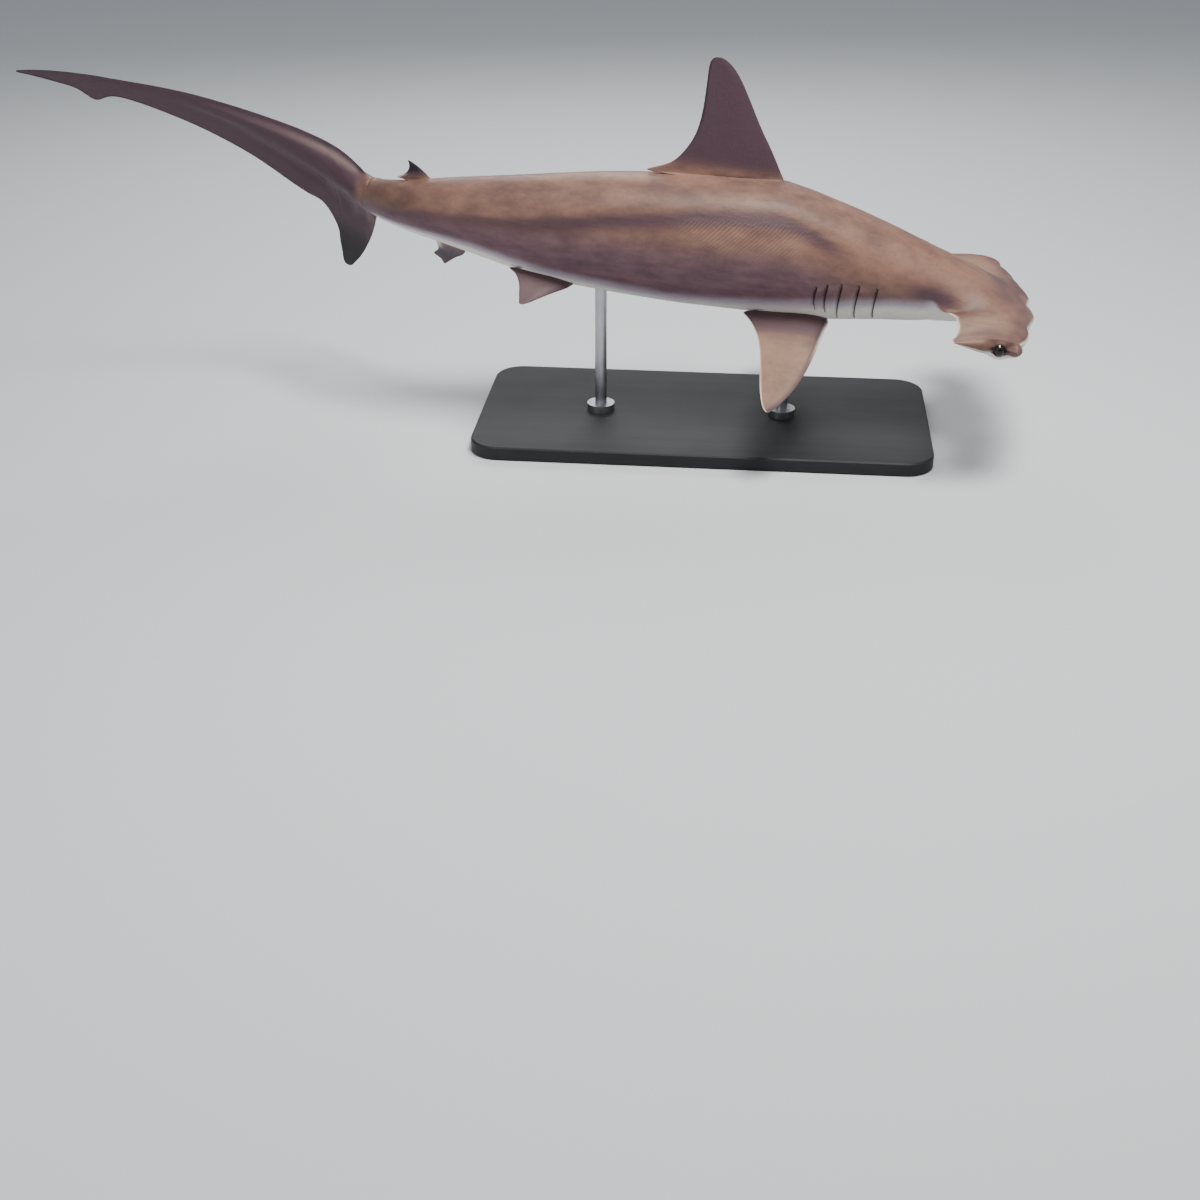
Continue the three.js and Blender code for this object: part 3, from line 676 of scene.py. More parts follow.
def pit_line(points):
    """Distance behind the crescent notch before the tail fin."""
    return points[:, 0] - PIT_BACK + PIT_CURVE * points[:, 1] ** 2


def near_gills(points, ahead, behind_them):
    near = np.zeros(len(points), bool)
    for behind, t in gill_lines(points):
        near |= (behind > -ahead) & (behind < behind_them) & (t > -0.1) & (t < 1.06)
    return near & (points[:, 1] > 50) & (points[:, 0] < 470)


def near_eyes(points, inner, outer, from_side=-12):
    back, out, level = (points - EYE_CENTRE).T
    reach = np.hypot(np.hypot(back * 0.85, out), level)
    return (reach < outer) & (np.hypot(back, level) > inner) & (out > from_side)


def near_mouth(points, margin):
    behind, along = mouth_line(points)
    return (np.abs(behind) < margin) & (along < 1.14) & (points[:, 2] < HAMMER_LEVEL - 8)


def near_nostrils(points, margin, groove_margin=0):
    behind, above = front_gap(points)
    across = points[:, 1]
    slit = (np.abs(behind - NOSTRIL_BEHIND) < margin) & (above < 0)
    slit &= np.abs(across - NOSTRIL_SIDE) < 13 + margin
    run = (across > 142) & (across < 250) & (behind < groove_margin)
    return slit | run & (np.abs(above - GROOVE_ABOVE) < groove_margin)


def near_pits(points, margin):
    return (np.abs(pit_line(points)) < margin) & (points[:, 2] > 12) & (points[:, 1] < 26)


# The skin is refined step by step towards each detail, with these reaches in millimetres
REFINED = (
    (near_gills, (22, 12), (7, 8), (2.2, 4.4)),
    (near_eyes, (0, 40), (0, 28, -6), (7, 21, 2)),
    (near_mouth, (20,), (12,), (5.5,)),
    (near_nostrils, (9, 8), (7, 6), (4.5,)),
    (near_pits, (16,), (9,)),
)

# Heights and depths of the sculpted forms
FLAP_HEIGHT, SLIT_DEPTH, HOOK_DEPTH = 2.6, 3.4, 0.9
UPPER_LIP, LOWER_LIP, MOUTH_DEPTH, CORNER_DEPTH = 2.8, 2.2, 4.6, 1.6
NOSTRIL_DEPTH, NOSTRIL_RIM, GROOVE_DEPTH = 6.5, 1.0, 2.0
PIT_DEPTH, PIT_LIP = 5.5, 1.6
VALLEY_DEPTH, MUSCLE_HEIGHT, SIDE_LINE_DEPTH = 1.9, 1.0, 0.5


def sculpt_gills(points):
    """Height of the flaps over the skin, and painted shade in the slits."""
    lift = np.zeros(len(points))
    dark = np.zeros(len(points))
    on_side = smooth(50, 60, points[:, 1]) * smooth(480, 465, points[:, 0])
    for (behind, t), (_, _, _, reach) in zip(gill_lines(points), GILLS):
        flap = FLAP_HEIGHT * window(behind, -reach, -2.5, -1.2, 0.4)
        groove = SLIT_DEPTH * window(behind, -0.8, 0.7, 1.6, 7)
        hook = bump_at(t + 0.004 * behind, 0.0, 0.035) * window(behind, -1.5, 0.5, 3, 9)
        lift += (flap - groove) * window(t, -0.03, 0.1, 0.84, 1.03) - HOOK_DEPTH * hook
        slit = window(behind, -1.0, 0.4, 1.2, 3.0) * window(t, -0.04, 0.02, 0.95, 1.03)
        dark = np.maximum(dark, np.maximum(slit, 0.8 * hook))
    return lift * on_side, dark * on_side


def sculpt_mouth(points):
    """Lips, the line between them and its corners; height, and painted shade in the line and its
    corners.
    """
    behind, along = mouth_line(points)
    under = smooth(HAMMER_LEVEL - 6, HAMMER_LEVEL - 14, points[:, 2])
    fade = smooth(1.12, 0.98, along) * under
    lips = UPPER_LIP * bump_at(behind, -8, 8) + LOWER_LIP * bump_at(behind, 7.5, 8)
    line = bump_at(behind, 0, 3.6)
    corner = bump_at(along, 1.02, 0.1) * bump_at(behind, 0, 9) * under
    lift = (lips - MOUTH_DEPTH * line) * fade - CORNER_DEPTH * corner
    return lift, np.maximum(0.95 * line**2 * fade, 0.35 * corner)


def sculpt_nostrils(points):
    """Nostrils under the front edge, and their grooves."""
    behind, above = front_gap(points)
    across = points[:, 1]
    under = smooth(2, -3, above)
    oval = ((across - NOSTRIL_SIDE) / 14) ** 2 + ((behind - NOSTRIL_BEHIND) / 3.6) ** 2
    slit = np.clip(1 - oval, 0, 1) * under
    rim = bump_at(behind, 1, 3) * bump_at(across, NOSTRIL_SIDE, 17) * under
    groove = bump_at(above, GROOVE_ABOVE, 4) * smooth(7, 2, behind)
    groove *= window(across, 146, 156, 236, 246)
    lift = NOSTRIL_RIM * rim - NOSTRIL_DEPTH * np.sqrt(slit) - GROOVE_DEPTH * groove
    return lift, np.maximum(smooth(0, 0.4, slit), 0.55 * groove)


def sculpt_pits(points):
    """The crescent notch before the tail fin, deep above and shallow below."""
    back, across, level = points.T
    behind = pit_line(points)
    upper = smooth(10, 22, level) * smooth(22, 12, across)
    lower = smooth(-22, -32, level) * smooth(18, 9, across)
    place = window(back, 1420, 1435, 1465, 1475)
    notch = PIT_LIP * bump_at(behind, -8, 7) - PIT_DEPTH * bump_at(behind, 0, 6)
    return notch * (upper + 0.5 * lower) * place, bump_at(behind, 1, 3) * upper * place * 0.8


def sculpt_flanks(points):
    """The long muscle over a soft valley, and the side line."""
    back = points[:, 0]
    down = degrees_down(points)
    fold = down - follow(FLANK_FOLD, 1, back)
    valley = MUSCLE_HEIGHT * bump_at(fold, -9, 11) - VALLEY_DEPTH * bump_at(fold, 4, 11)
    side_line = bump_at(down, 88, 3.5) * window(back, 470, 520, 1380, 1430)
    return valley * window(back, 330, 430, 900, 1300) - SIDE_LINE_DEPTH * side_line


# The lids: angle off the eye's axis, radius, rim and fold; the cup's radius; the swelling
LID_OPEN, LID_RADIUS, LID_RIM, LID_FOLD, CUP_RADIUS = 55, 16.0, 2.1, 1.0, 13.4
SWELLING = (25, 17, 19.5)
# The eyeball, with the width and lift of the steps of its clear bulge
EYE_SEGMENTS, EYE_RINGS, EYE_GAP = 56, 36, 0.2
CLEAR_FROM, CLEAR_STEPS = 0.76, ((0.5, 0.75), (1.6, 0.3))


def sculpt_eyes(points):
    """Draws the hammer's ends out into sockets with a lid round each eye."""
    offset = folded(points) - EYE_CENTRE
    reach = np.linalg.norm(offset, axis=1)
    aim = offset / np.maximum(reach, 1e-6)[:, None]
    bulge = 1 / np.linalg.norm(aim / SWELLING, axis=1)
    swollen = (reach + bulge + np.sqrt((reach - bulge) ** 2 + 25)) / 2
    outward = smooth(-13, -2, offset[:, 1]) * smooth(46, 34, reach)
    radius = reach + (swollen - reach) * outward
    plane = np.hypot(aim[:, 0] * 0.86, aim[:, 2] * np.where(aim[:, 2] > 0, 1.06, 1))
    off_axis = np.degrees(np.arctan2(plane, aim[:, 1]))
    near = smooth(40, 32, reach) * smooth(-6, 0, offset[:, 1])
    lid = LID_RADIUS + LID_RIM * smooth(LID_OPEN, LID_OPEN + 6, off_axis)
    lid += (radius - lid) * smooth(LID_OPEN + 7, LID_OPEN + 26, off_axis)
    lid -= LID_FOLD * bump_at(off_axis, LID_OPEN + 17, 6)
    cup = CUP_RADIUS + (lid - CUP_RADIUS) * smooth(LID_OPEN - 5, LID_OPEN, off_axis)
    radius += (cup - radius) * near
    moved = aim * radius[:, None] + EYE_CENTRE
    moved[:, 1] *= np.sign(points[:, 1])
    close = (reach < 48) & (offset[:, 1] > -14)
    # Painted shade in the socket, fading out over the lid
    socket = smooth(LID_OPEN + 2, LID_OPEN - 3, off_axis)
    dark = np.maximum(socket, 0.3 * smooth(LID_OPEN + 34, LID_OPEN + 4, off_axis)) * near
    return np.where(close[:, None], moved, points), dark * close


def ease_brow(obj):
    """Smooths the top of the head where the brow runs out into the wings."""
    back, across, level = folded(coordinates(obj.data)).T
    top = (back > 40) & (back < 262) & (across > 34) & (across < 172) & (level > HAMMER_LEVEL + 6)
    edit_these(obj, "VERT", top)
    bpy.ops.mesh.vertices_smooth(factor=0.6, repeat=14)
    leave_edit()


def sculpt(obj):
    """Raises and sinks the skin for its details, and keeps what its colours need."""
    mesh = obj.data
    points = coordinates(mesh)
    half = folded(points)
    back = points[:, 0]
    normals = read(mesh.vertex_normals, "vector")
    body = 1 - smooth(0.05, 0.5, mark(mesh, "fin"))
    head, muzzle = smooth(215, 205, back), smooth(75, 65, back)
    gills, gill_dark = sculpt_gills(half)
    mouth, mouth_dark = sculpt_mouth(half)
    nostrils, nostril_dark = sculpt_nostrils(half)
    pits, pit_dark = sculpt_pits(half)
    shift = (gills + sculpt_flanks(half)) * body * smooth(250, 290, back)
    shift += mouth * head + nostrils * muzzle + pits
    pore = np.linalg.norm(half - PORE, axis=1)
    # Painted shade in the gill slits, the mouth line, the nostrils, the pit and a pore
    crease = np.maximum.reduce([
        gill_dark * body, mouth_dark * head, nostril_dark * muzzle, pit_dark,
        0.7 * smooth(4.5, 2.0, pore),
    ])
    keep(mesh, "straight", points * MM, "FLOAT_VECTOR")
    keep_looks(mesh, half, normals)
    moved, lid_dark = sculpt_eyes(points + normals * shift[:, None])
    keep(mesh, "crease", np.maximum(crease, lid_dark))
    set_coordinates(mesh, moved)


def survey(mesh, points, normals):
    """Places, gaps to edges and shares of each fin, for the colour masks."""
    s = SimpleNamespace()
    s.back, s.across, s.level = points.T
    s.up = normals[:, 2]
    s.height, s.chord, s.front, s.rear = (mark(mesh, name) for name in MARKS[1:])
    s.down = degrees_down(points)
    s.from_front, _ = front_gap(points)
    s.eye = points - EYE_CENTRE
    on_fin = smooth(0.1, 0.6, mark(mesh, "fin"))
    s.on_body = 1 - on_fin
    s.facing = smooth(0.25, -0.35, s.up)
    s.tail = smooth(1450, 1500, s.back)
    rear_body = on_fin * (s.back > 1150) * (s.back < 1420)
    s.first_dorsal = on_fin * (s.level > 100) * (s.back < 1000)
    s.second_dorsal = rear_body * (s.level > 40)
    s.anal = rear_body * (s.level < -60)
    s.paired = on_fin * (s.level < 0) * (s.back < 1150)
    s.pectoral = s.paired * (s.back < 800)
    s.trailing = on_fin * smooth(9, 3, s.rear)
    s.leading = on_fin * smooth(7, 2, s.front)
    # Band of painted highlight along the tail fin's ridge
    s.ridge = s.tail * bump_at(s.front, 17, 12) * window(s.height, 0.0, 0.1, 0.3, 0.62)
    return s


def belly_mask(s):
    """The pale underside of the body, the wings and the paired fins."""
    belly = smooth(-22, 20, s.down - follow(BELLY_LINE, 1, s.back))
    turned = np.maximum(0.8 * smooth(228, 262, s.across), 0.34 * smooth(30, 10, s.from_front))
    turned = 0.05 - turned
    under = smooth(turned, np.maximum(turned - 0.26, -0.95), s.up)
    wing = smooth(96, 112, s.across) * (s.back < 260) * s.on_body
    belly += (under - belly) * np.maximum(smooth(235, 165, s.back), wing)
    round_eye = smooth(36, 22, np.linalg.norm(s.eye * (0.7, 1, 1.2), axis=1))
    belly *= 1 - round_eye * smooth(-0.95, -0.6, s.up)
    belly = belly * (1 - s.paired) + s.paired * s.facing
    belly *= (1 - s.first_dorsal) * (1 - s.second_dorsal) * (1 - 0.75 * s.anal)
    return belly * (1 - smooth(1400, 1456, s.back) * 0.93)


def dusky_and_shade_mask(s):
    """Dusky and darker fins, margins and tips, painted shade on the tail fin and on the head, and
    a darker front edge.
    """
    upper_face = 1 - s.facing
    dusk = 0.6 * s.first_dorsal * smooth(-0.02, 0.17, s.height - 0.05 * s.chord)
    # Painted shade over the tail fin, deepest on its lower lobe
    dusk += 0.6 * s.tail + 0.4 * s.tail * smooth(-40, -120, s.level) * smooth(-10, -190, s.level)
    dusk += 0.92 * s.second_dorsal * smooth(0.1, 0.55, s.height)
    dusk += 0.8 * s.anal * smooth(-0.1, 0.45, s.height)
    pectoral = 0.46 * smooth(0.28, 0.2, s.height) + 0.23 * smooth(0.88, 1, s.height)
    pectoral += 0.35 * smooth(16, 5, s.front)
    dusk += (pectoral * s.pectoral + 0.45 * (s.paired - s.pectoral)) * upper_face
    dusk += 0.55 * s.paired * s.facing * smooth(0.72, 0.95, s.height)
    # Painted shade behind the head, along its middle and round the eye, heaviest under it; darker
    # along the front edge
    dusk += 0.2 * bump_at(s.down, 90, 34) * bump_at(s.back, 222, 95) * s.on_body
    neck = bump_at(s.down, 88, 26) * window(s.back, 148, 180, 225, 290)
    dusk += 0.38 * neck * smooth(124, 100, s.across)
    dusk += 0.32 * bump_at(s.back, 62, 64) * smooth(150, 60, s.across) * s.on_body
    dusk += 0.24 * bump_at(s.from_front, 24, 20) * (s.back < 100) * (s.up > 0)
    lower = smooth(4, -9, s.level - EYE_LEVEL) * smooth(-0.96, -0.7, s.up)
    eye_gap = np.linalg.norm(s.eye * (0.55, 1, 1.1), axis=1)
    dusk += (0.14 + 0.34 * lower) * smooth(34, 19, eye_gap)
    margin = (s.first_dorsal + s.tail) * smooth(0.06, 0.16, s.height + 0.2 * s.tail)
    dusk = np.maximum(dusk, 0.85 * s.trailing * margin)
    dusk = np.maximum(dusk, 0.7 * s.leading * s.first_dorsal * smooth(0.5, 0.9, s.height))
    # Less where the painted highlight of the tail's ridge runs
    return np.clip(dusk * (1 - 0.4 * s.ridge), 0, 1)


def rim_and_highlight_mask(s):
    """Pale rims along the hammer's edges and some of the fins, and a faint painted highlight on
    the tail's ridge.
    """
    front = smooth(3.0, 0.8, s.from_front) * smooth(100, 80, s.back)
    rear = smooth(3.6, 1.2, follow(REAR_EDGE, 1, s.across) - s.back) * smooth(96, 110, s.across)
    rim = np.maximum(front * smooth(280, 250, s.across), rear * (s.back < 230))
    end = smooth(246, 262, s.across) * smooth(100, 124, s.back) * bump_at(s.up, -0.6, 0.2)
    small = (s.second_dorsal + s.anal) * smooth(0.4, 0.15, s.height) * smooth(18, 7, s.rear)
    return np.maximum.reduce([
        rim * smooth(-9, -2, s.level - HAMMER_LEVEL), 0.8 * end, 0.8 * small, 0.1 * s.ridge,
        0.75 * s.pectoral * smooth(3.6, 1.2, s.rear) * smooth(0.1, 0.3, s.height),
        0.8 * s.pectoral * s.leading * smooth(0.55, 0.2, s.height),
    ])


def painted_highlight_mask(s):
    """Painted highlights on the tail's ridge and upper edge, the middle of the wings and the
    outer pectoral fins.
    """
    wing = bump_at(s.across, 185, 80) * smooth(24, 60, s.from_front) * (s.back < 215)
    return np.maximum.reduce([
        0.45 * s.ridge + 0.25 * s.tail * smooth(12, 3, s.front), 0.3 * wing,
        0.28 * s.pectoral * smooth(0.24, 0.34, s.height),
    ])


def muscle_shadow_mask(s):
    """The painted plum shadow under the long muscle of the back."""
    fold = s.down - follow(FLANK_FOLD, 1, s.back)
    return window(fold, -3, 4, 9, 22) * window(s.back, 340, 470, 1000, 1420) * s.on_body


def flank_grey_and_shade_mask(s):
    """How far the bronze of the back turns to the slate of the flank, partly the flank's own grey
    and partly painted shade, and painted shade over the tail fin.
    """
    grey = smooth(58, 112, s.down) * smooth(170, 420, s.back)
    return grey * (1 - 0.45 * bump_at(s.back, 370, 120)) * s.on_body + 0.75 * s.tail


def muscle_mask(s):
    """Where the slanting folds over the gills show."""
    return window(s.back, 455, 540, 660, 790) * window(s.down, 54, 64, 76, 90) * s.on_body


MASKS = {
    "belly": belly_mask, "dusk": dusky_and_shade_mask, "rim": rim_and_highlight_mask, "lit": painted_highlight_mask,
    "band": muscle_shadow_mask, "flank": flank_grey_and_shade_mask, "muscle": muscle_mask,
}


def keep_looks(mesh, points, normals):
    """Keeps the masks that the skin's colours are mixed by."""
    measures = survey(mesh, points, normals)
    for name, mask in MASKS.items():
        keep(mesh, name, mask(measures))


def put_on_stand(obj):
    """Bends the straight animal into its pose, with the faces outward again."""
    set_coordinates(obj.data, pose(coordinates(obj.data)))
    edit_only(obj)
    bpy.ops.mesh.select_all(action="SELECT")
    bpy.ops.mesh.flip_normals()
    leave_edit()
    obj.data.polygons.foreach_set("use_smooth", [True] * len(obj.data.polygons))


class Value:
    """An output of a material's node, so that its maths reads like plain arithmetic."""

    def __init__(self, tree, socket=None):
        self.tree, self.socket = tree, socket

    def node(self, kind, inputs=(), output=0, **settings):
        """Adds a node of any kind and gives one of its outputs."""
        made = self.tree.nodes.new(kind)
        for key, setting in settings.items():
            setattr(made, key, setting)
        for key, given in dict(inputs).items():
            if isinstance(given, Value):
                self.tree.links.new(given.socket, made.inputs[key])
            else:
                made.inputs[key].default_value = given
        return Value(self.tree, made.outputs[output])

    def maths(self, operation, *given):
        """One operation on this value and the given ones."""
        return self.node("ShaderNodeMath", enumerate((self, *given)), operation=operation)

    def __add__(self, other):
        return self.maths("ADD", other)

    __radd__ = __add__

    def __sub__(self, other):
        return self.maths("SUBTRACT", other)

    def __rsub__(self, other):
        return self.maths("MULTIPLY_ADD", -1, other)

    def __mul__(self, other):
        return self.maths("MULTIPLY", other)

    def __abs__(self):
        return self.maths("ABSOLUTE")

    def step(self, low, high):
        inputs = {"Value": self, "From Min": low, "From Max": high}
        return self.node("ShaderNodeMapRange", inputs, interpolation_type="SMOOTHSTEP")

    def mark(self, name, output="Fac"):
        return self.node("ShaderNodeAttribute", output=output, attribute_name=name)

    def noise(self, scale, detail=3, rough=0.55, stretch=(1, 1, 1)):
        """Soft noise over this place, in waves per metre."""
        place = self.node("ShaderNodeVectorMath", {0: self, 1: stretch}, operation="MULTIPLY")
        inputs = {"Vector": place, "Scale": scale, "Detail": detail, "Roughness": rough}
        return self.node("ShaderNodeTexNoise", inputs, "Fac")

    def cells(self, scale):
        return self.node("ShaderNodeTexVoronoi", {"Vector": self, "Scale": scale}, "Distance")

    def axis(self, number):
        return self.node("ShaderNodeSeparateXYZ", {0: self}, number)

    def tint(self, low, high):
        """A colour between two, by this share."""
        return self.node("ShaderNodeMix", {0: self, 6: low, 7: high}, 2, data_type="RGBA")

    def bump(self, height, distance, strength):
        inputs = {"Height": height, "Distance": distance, "Strength": strength}
        return self.node("ShaderNodeBump", inputs)


def colour(red, green, blue):
    """A colour given as it looks on a screen, 0 to 255."""
    def linear(value):
        value /= 255
        return value / 12.92 if value <= 0.04045 else ((value + 0.055) / 1.055) ** 2.4
    return (linear(red), linear(green), linear(blue), 1)


def new_material(name, **shading):
    """A material, its main shader with fixed settings, and a Value to start from."""
    material = bpy.data.materials.new(name)
    material.use_nodes = True
    shader = material.node_tree.nodes["Principled BSDF"]
    for key, value in shading.items():
        shader.inputs[key.replace("_", " ")].default_value = value
    return material, shader, Value(material.node_tree)


def feed(shader, **inputs):
    """Links values to the inputs of a material's main shader."""
    for key, value in inputs.items():
        shader.id_data.links.new(value.socket, shader.inputs[key.replace("_", " ")])


def wear(obj, material):
    obj.data.materials.clear()
    obj.data.materials.append(material)


BRONZE = colour(141, 107, 90)
BRONZE_DEEP = colour(93, 69, 65)
# A lit copy of the bronze, for painted highlights
BRONZE_LIT = colour(178, 149, 121)
# Plum for the painted shadow under the muscle of the back
SHADOW_PLUM = colour(70, 49, 57)
# Slate of the flank, partly its own grey and partly painted shade
SLATE = colour(118, 89, 96)
SLATE_DEEP = colour(86, 63, 74)
LILAC = colour(168, 158, 170)
# Dusky fin colour, also used for painted shade
DUSK_AND_SHADE = colour(78, 58, 68)
# Near black: dark fin tips, painted shade in slits, creases, pits and sockets, and the deepest
# painted shade on the tail
INK_AND_SHADE = colour(24, 25, 34)
CREAM = colour(232, 226, 218)
PALE_RIM = colour(236, 220, 208)
IRIS, IRIS_DEEP, IRIS_RING = colour(58, 42, 32), colour(14, 10, 9), colour(20, 15, 13)
EYE_SKIN, EYE_SKIN_DEEP, PUPIL = colour(78, 66, 60), colour(48, 38, 34), colour(3, 3, 4)
BLACK_PAINT, WORN_PAINT = colour(22, 23, 25), colour(34, 35, 38)
STEEL, BRIGHT_STEEL = colour(168, 170, 174), colour(190, 192, 196)


def upper_colour(m, n):
    """Back and flank, partly painted shade, with the painted shadow under the muscle and painted
    highlights, also on the folds of the muscle.
    """
    back_colour = (n.clouds * 0.5 + n.blotches * 0.5).step(0.3, 0.68).tint(BRONZE_DEEP, BRONZE)
    flank_tone = (n.streaks * 0.4 + n.blotches * 0.6).step(0.26, 0.76)
    # Slate towards the flank and over the tail, partly painted shade
    flank_share = (m.flank + (n.clouds - 0.5) * 0.4).step(0.08, 0.95)
    upper = flank_share.tint(back_colour, flank_tone.tint(SLATE_DEEP, SLATE))
    # Painted shadow under the long muscle of the back
    upper = (m.band * (0.74 + n.streaks * 0.4)).tint(upper, SHADOW_PLUM)
    # Painted highlights on the tail, the wings and the pectoral fins
    upper = (m.lit * (0.5 + n.blotches * 0.7)).tint(upper, BRONZE_LIT)
    # Painted highlight on the crests of the muscle's slanting folds
    return (n.folds * n.blotches * 0.34).tint(upper, BRONZE_LIT)


def skin_colour(place, m, n):
    """Dusky fins and painted shade over the upper colour, the belly's wandering border, and fine
    marks.
    """
    dusky_and_shaded = (m.dusk + (n.blotches - 0.5) * m.dusk * 0.5).step(0.0, 0.62)
    darkened = dusky_and_shaded.tint(upper_colour(m, n), DUSK_AND_SHADE)
    # Near black at the darkest: dusky tips, and the deepest painted shade on the tail's lower
    # lobe
    darkened = m.dusk.step(0.62, 1.0).tint(darkened, INK_AND_SHADE)
    wander = (n.blotches - 0.5) * 0.24 * (1 - abs(m.belly * 2 - 1))
    border = m.belly + (n.clouds - 0.5) * 0.2 + wander
    both = border.step(0.12, 0.62).tint(darkened, LILAC)
    both = border.step(0.5, 0.95).tint(both, CREAM)
    # Pores, flecks and the grain of the skin
    dark_side = 1 - border.step(0.2, 0.6)
    pores = place.cells(95).step(0.15, 0.06) * (n.clouds + n.blotches).step(0.94, 1.1)
    both = (pores * dark_side * 0.7 * (1 - m.fin * 0.6)).tint(both, DUSK_AND_SHADE)
    flecks = place.cells(70).step(0.035, 0.015) * n.blotches.step(0.46, 0.56) * dark_side
    both = (flecks * 0.6).tint(both, CREAM)
    both = (n.grain.step(0.3, 0.7) * 0.16).tint(both, BRONZE_DEEP)
    rimmed = (m.rim * (0.75 + n.grain * 0.5)).tint(both, PALE_RIM)
    # Painted shade, near black, in the slits, the mouth, the nostrils, the pits and the eye
    # sockets
    return (m.crease.step(0.18, 0.9) * 0.9).tint(rimmed, INK_AND_SHADE)


def skin_relief(place, m, n):
    """Tiny scales, creased skin, the rays of the fins and the folds of the muscle."""
    scales = place.cells(800).step(0.0, 0.8)
    creases = place.noise(150, 2, 0.6, (0.5, 1, 1))
    fan = place.node("ShaderNodeCombineXYZ", {0: m.chord * 55, 1: m.height * 2})
    return scales * 0.12 + creases * 0.8 + fan.noise(1, 2, 0.5) * 0.7 * m.fin + n.folds * 0.35


def skin_material():
    material, shader, start = new_material(
        "bronze_and_cream_skin", IOR=1.4, Specular_IOR_Level=0.3, Subsurface_Weight=0.03,
        Subsurface_Scale=0.006, Subsurface_Radius=(1.0, 0.45, 0.3), Coat_Roughness=0.32,
        Coat_IOR=1.38)
    place = start.mark("straight", "Vector")
    m = SimpleNamespace(**{
        name: start.mark(name) for name in (*MASKS, "crease", "fin", "height", "chord")})
    n = SimpleNamespace(
        clouds=place.noise(7, 3, 0.6, (0.7, 1, 1.3)),
        blotches=place.noise(26, 4, 0.66, (0.6, 1, 1)),
        streaks=place.noise(75, 2, 0.6, (0.16, 1, 1)),
        grain=place.noise(420, 1))
    slant = (place.axis(0) + place.axis(2)) * 690 + place.noise(16, 1) * 9
    n.folds = m.muscle * slant.maths("SINE").step(-0.4, 1.0)
    feed(shader, Base_Color=skin_colour(place, m, n),
         Roughness=0.47 + (n.grain - 0.5) * 0.16 + m.belly * 0.05 + m.crease * 0.3,
         Coat_Weight=(1 - m.crease) * (0.1 - m.dusk * 0.05),
         Normal=start.bump(skin_relief(place, m, n), 0.0008, 0.85))
    return material


def eye_material():
    material, shader, start = new_material(
        "dark_eye", Roughness=0.1, IOR=1.36, Coat_Weight=0.35, Coat_Roughness=0.03,
        Specular_IOR_Level=0.4)
    gaze = start.mark("gaze", "Vector")
    ahead, up = gaze.axis(0), gaze.axis(2)
    around = ahead.maths("ARCTAN2", up) * 38 + gaze.noise(3) * 8
    width = (ahead * ahead + up * up * 0.8).maths("SQRT")
    fibres = gaze.noise(7, 4, 0.7) * 0.7 + around.maths("SINE") * 0.08
    iris = fibres.step(0.1, 0.7).tint(IRIS_DEEP, IRIS)
    iris = width.step(0.5, 0.68).tint(iris, IRIS_RING)
    white = gaze.noise(5).step(0.3, 0.7).tint(EYE_SKIN_DEEP, EYE_SKIN)
    ball = width.step(0.7, 0.8).tint(iris, white)
    pupil = (width + up * 0.04).step(0.36, 0.32)
    feed(shader, Base_Color=pupil.tint(ball, PUPIL))
    return material


def add_eye(hand, node, look):
    """A full eyeball with a clear bulge over its iris, its axis pointing out of the wing."""
    centre = Vector((EYE_BACK, hand * EYE_SIDE, EYE_LEVEL))
    bpy.ops.mesh.primitive_uv_sphere_add(
        segments=EYE_SEGMENTS, ring_count=EYE_RINGS, radius=EYE_RADIUS - EYE_GAP,
        location=centre, rotation=(math.pi / 2, 0, 0))
    obj = bpy.context.object
    obj.name = "eyeball_left" if hand > 0 else "eyeball_right"
    bpy.ops.object.transform_apply(location=True, rotation=True, scale=True)
    edit_only(obj)
    shell = bmesh.from_edit_mesh(obj.data)
    for face in shell.faces:
        aim = (face.calc_center_median() - centre).normalized()
        face.select = aim.y * hand > CLEAR_FROM
    bmesh.update_edit_mesh(obj.data)
    for width, lift in CLEAR_STEPS:
        bpy.ops.mesh.inset(thickness=width)
        bpy.ops.transform.translate(value=(0, lift * hand, 0))
    for _ in range(3):
        bpy.ops.mesh.select_more()
    bpy.ops.mesh.vertices_smooth(factor=0.5, repeat=10)
    leave_edit()
    modifier = obj.modifiers.new("smooth", "SUBSURF")
    set_levels(modifier, 1)
    bpy.ops.object.modifier_apply(modifier=modifier.name)
    offset = (coordinates(obj.data) - np.array(centre)) / EYE_RADIUS
    keep(obj.data, "gaze", offset * (1, hand, 1), "FLOAT_VECTOR")
    put_on_stand(obj)
    wear(obj, look)
    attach(obj, "root")
    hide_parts(node)


def board_material():
    material, shader, start = new_material(
        "satin_black_board", IOR=1.46, Specular_IOR_Level=0.35)
    place = start.node("ShaderNodeTexCoord", output="Object")
    grain = place.noise(26, 5, 0.6, (0.06, 1, 1))
    pores = place.noise(190, 3, 0.6, (0.05, 1, 1))
    dust = place.noise(9, 4, 0.6)
    tone = (grain * 0.6 + dust * 0.4).step(0.3, 0.7).tint(BLACK_PAINT, WORN_PAINT)
    feed(shader, Base_Color=tone, Roughness=0.46 + dust * 0.14 + pores * 0.06,
         Normal=start.bump(grain * 0.7 + pores * 0.5, 0.0004, 0.6))
    return material


def steel_material():
    material, shader, start = new_material("brushed_steel", Metallic=1.0)
    place = start.node("ShaderNodeTexCoord", output="Object")
    brushed = place.noise(700, 2, 0.6, (1, 1, 0.03))
    clouded = place.noise(30, 3, 0.5)
    tone = (brushed * 0.7 + clouded * 0.3).step(0.3, 0.7).tint(STEEL, BRIGHT_STEEL)
    feed(shader, Base_Color=tone, Roughness=0.24 + brushed * 0.18,
         Normal=start.bump(brushed, 0.0002, 0.5))
    return material


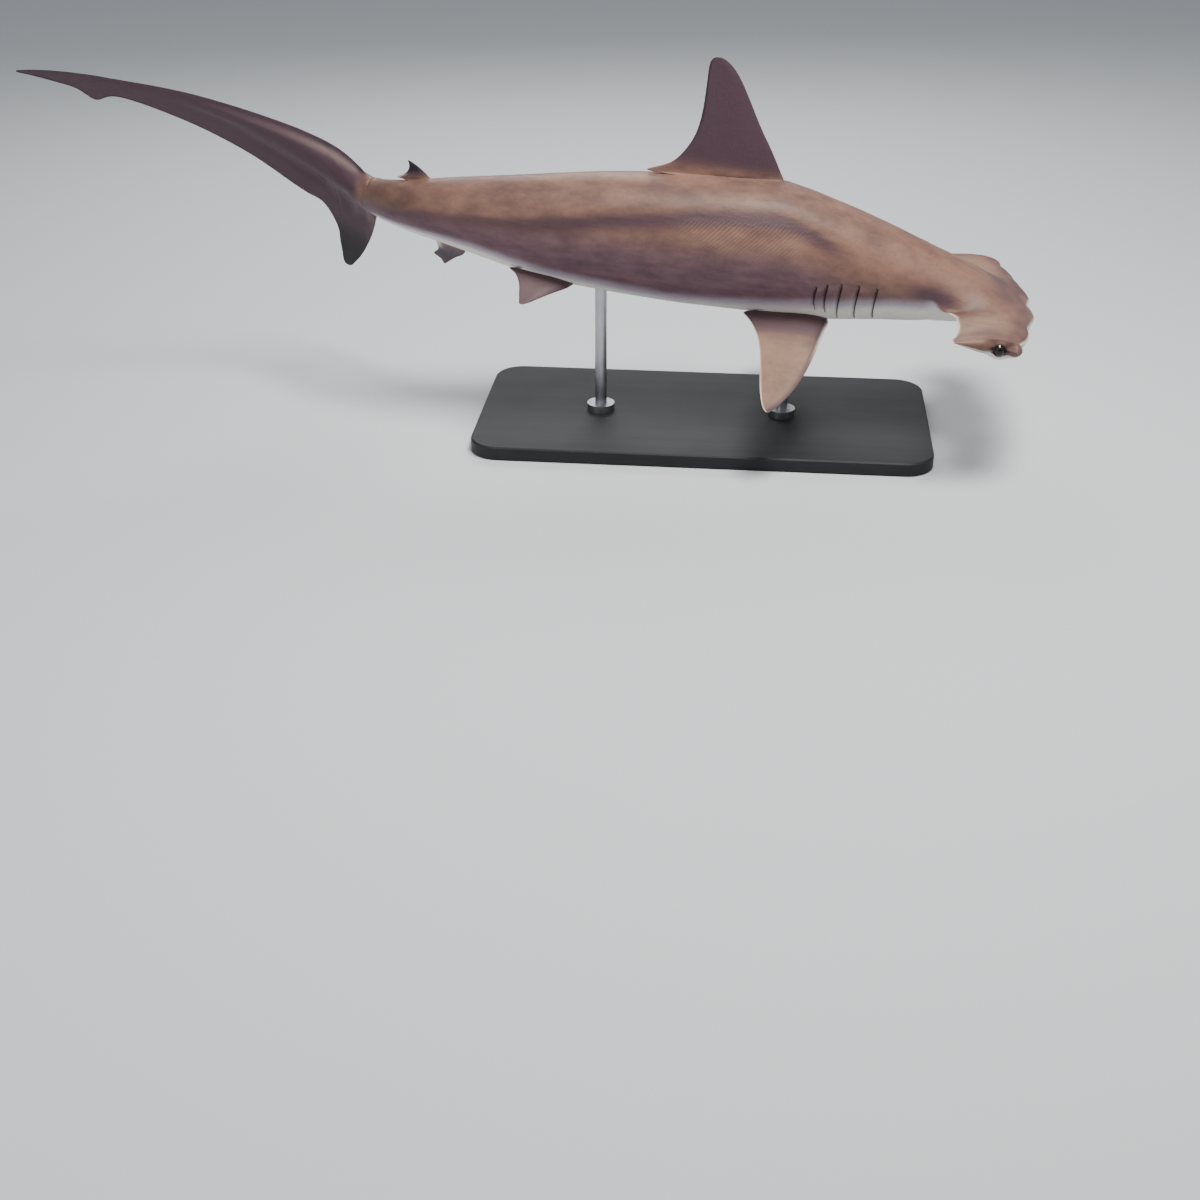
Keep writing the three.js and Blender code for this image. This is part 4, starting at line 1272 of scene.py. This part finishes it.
# The studio. Lights: place, what they point at, size, power and colour
CAMERA_PLACE = (0.1061, -3.4293, 1.4512)
CAMERA_ROTATION = (math.radians(90 - 29.0), 0, math.radians(5.6))
LIGHTS = {
    "key_light": ((0.7, -0.9, 3.7), (-0.2, 0, 0.4), (1.7, 1.1), 215, (1, 0.975, 0.94)),
    "fill_light": ((-2.4, -3.2, 1.6), (0, 0, 0.4), (2.0, 2.0), 24, (0.94, 0.97, 1)),
    "rim_light": ((-0.6, 2.8, 2.4), (0, 0, 0.4), (2.6, 1.2), 60, (1, 1, 1)),
}
SKY_COLOUR, SKY_STRENGTH = (0.75, 0.8, 0.86, 1), 0.4


def add_floor():
    bpy.ops.mesh.primitive_plane_add(size=40, location=(0, 0, 0))
    floor = bpy.context.object
    floor.name = "floor"
    wear(floor, new_material("pale_floor", Base_Color=(0.62, 0.64, 0.66, 1), Roughness=0.7)[0])


def add_object(name, data, place, rotation):
    added = bpy.data.objects.new(name, data)
    bpy.context.scene.collection.objects.link(added)
    added.location = place
    added.rotation_euler = rotation
    return added


def add_camera():
    data = bpy.data.cameras.new("camera")
    data.lens = 50
    data.sensor_width = 36
    bpy.context.scene.camera = add_object("camera", data, CAMERA_PLACE, CAMERA_ROTATION)


def add_light(name, place, aim, size, power, tint):
    data = bpy.data.lights.new(name, "AREA")
    data.shape = "RECTANGLE"
    data.size, data.size_y = size
    data.energy = power
    data.color = tint
    aiming = (Vector(aim) - Vector(place)).to_track_quat("-Z", "Y")
    add_object(name, data, place, aiming.to_euler())


def add_sky():
    world = bpy.data.worlds.new("studio")
    bpy.context.scene.world = world
    world.use_nodes = True
    sky = world.node_tree.nodes["Background"].inputs
    sky["Color"].default_value = SKY_COLOUR
    sky["Strength"].default_value = SKY_STRENGTH


# The skin
skin = add_hammer()
grow_body(skin)
grow_fins(skin)
smooth_skin = fit_cage(skin)
for near, *reaches in REFINED:
    for reach in reaches:
        refine(skin, smooth_skin, near, reach)
ease_brow(skin)
sculpt(skin)
put_on_stand(skin)
body_nodes = [name for name in frame["nodes"] if not name.startswith(("eye_", "stand_"))]
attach(skin, "root")
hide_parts(*body_nodes)
wear(skin, skin_material())

# The eyes and the stand
eye_look = eye_material()
add_eye(1, "eye_left", eye_look)
add_eye(-1, "eye_right", eye_look)
board_look, steel_look = board_material(), steel_material()
for name, node in frame["nodes"].items():
    if name.startswith("stand_"):
        wear(node, board_look if name == "stand_base" else steel_look)

add_floor()
add_camera()
for name, settings in LIGHTS.items():
    add_light(name, *settings)
add_sky()
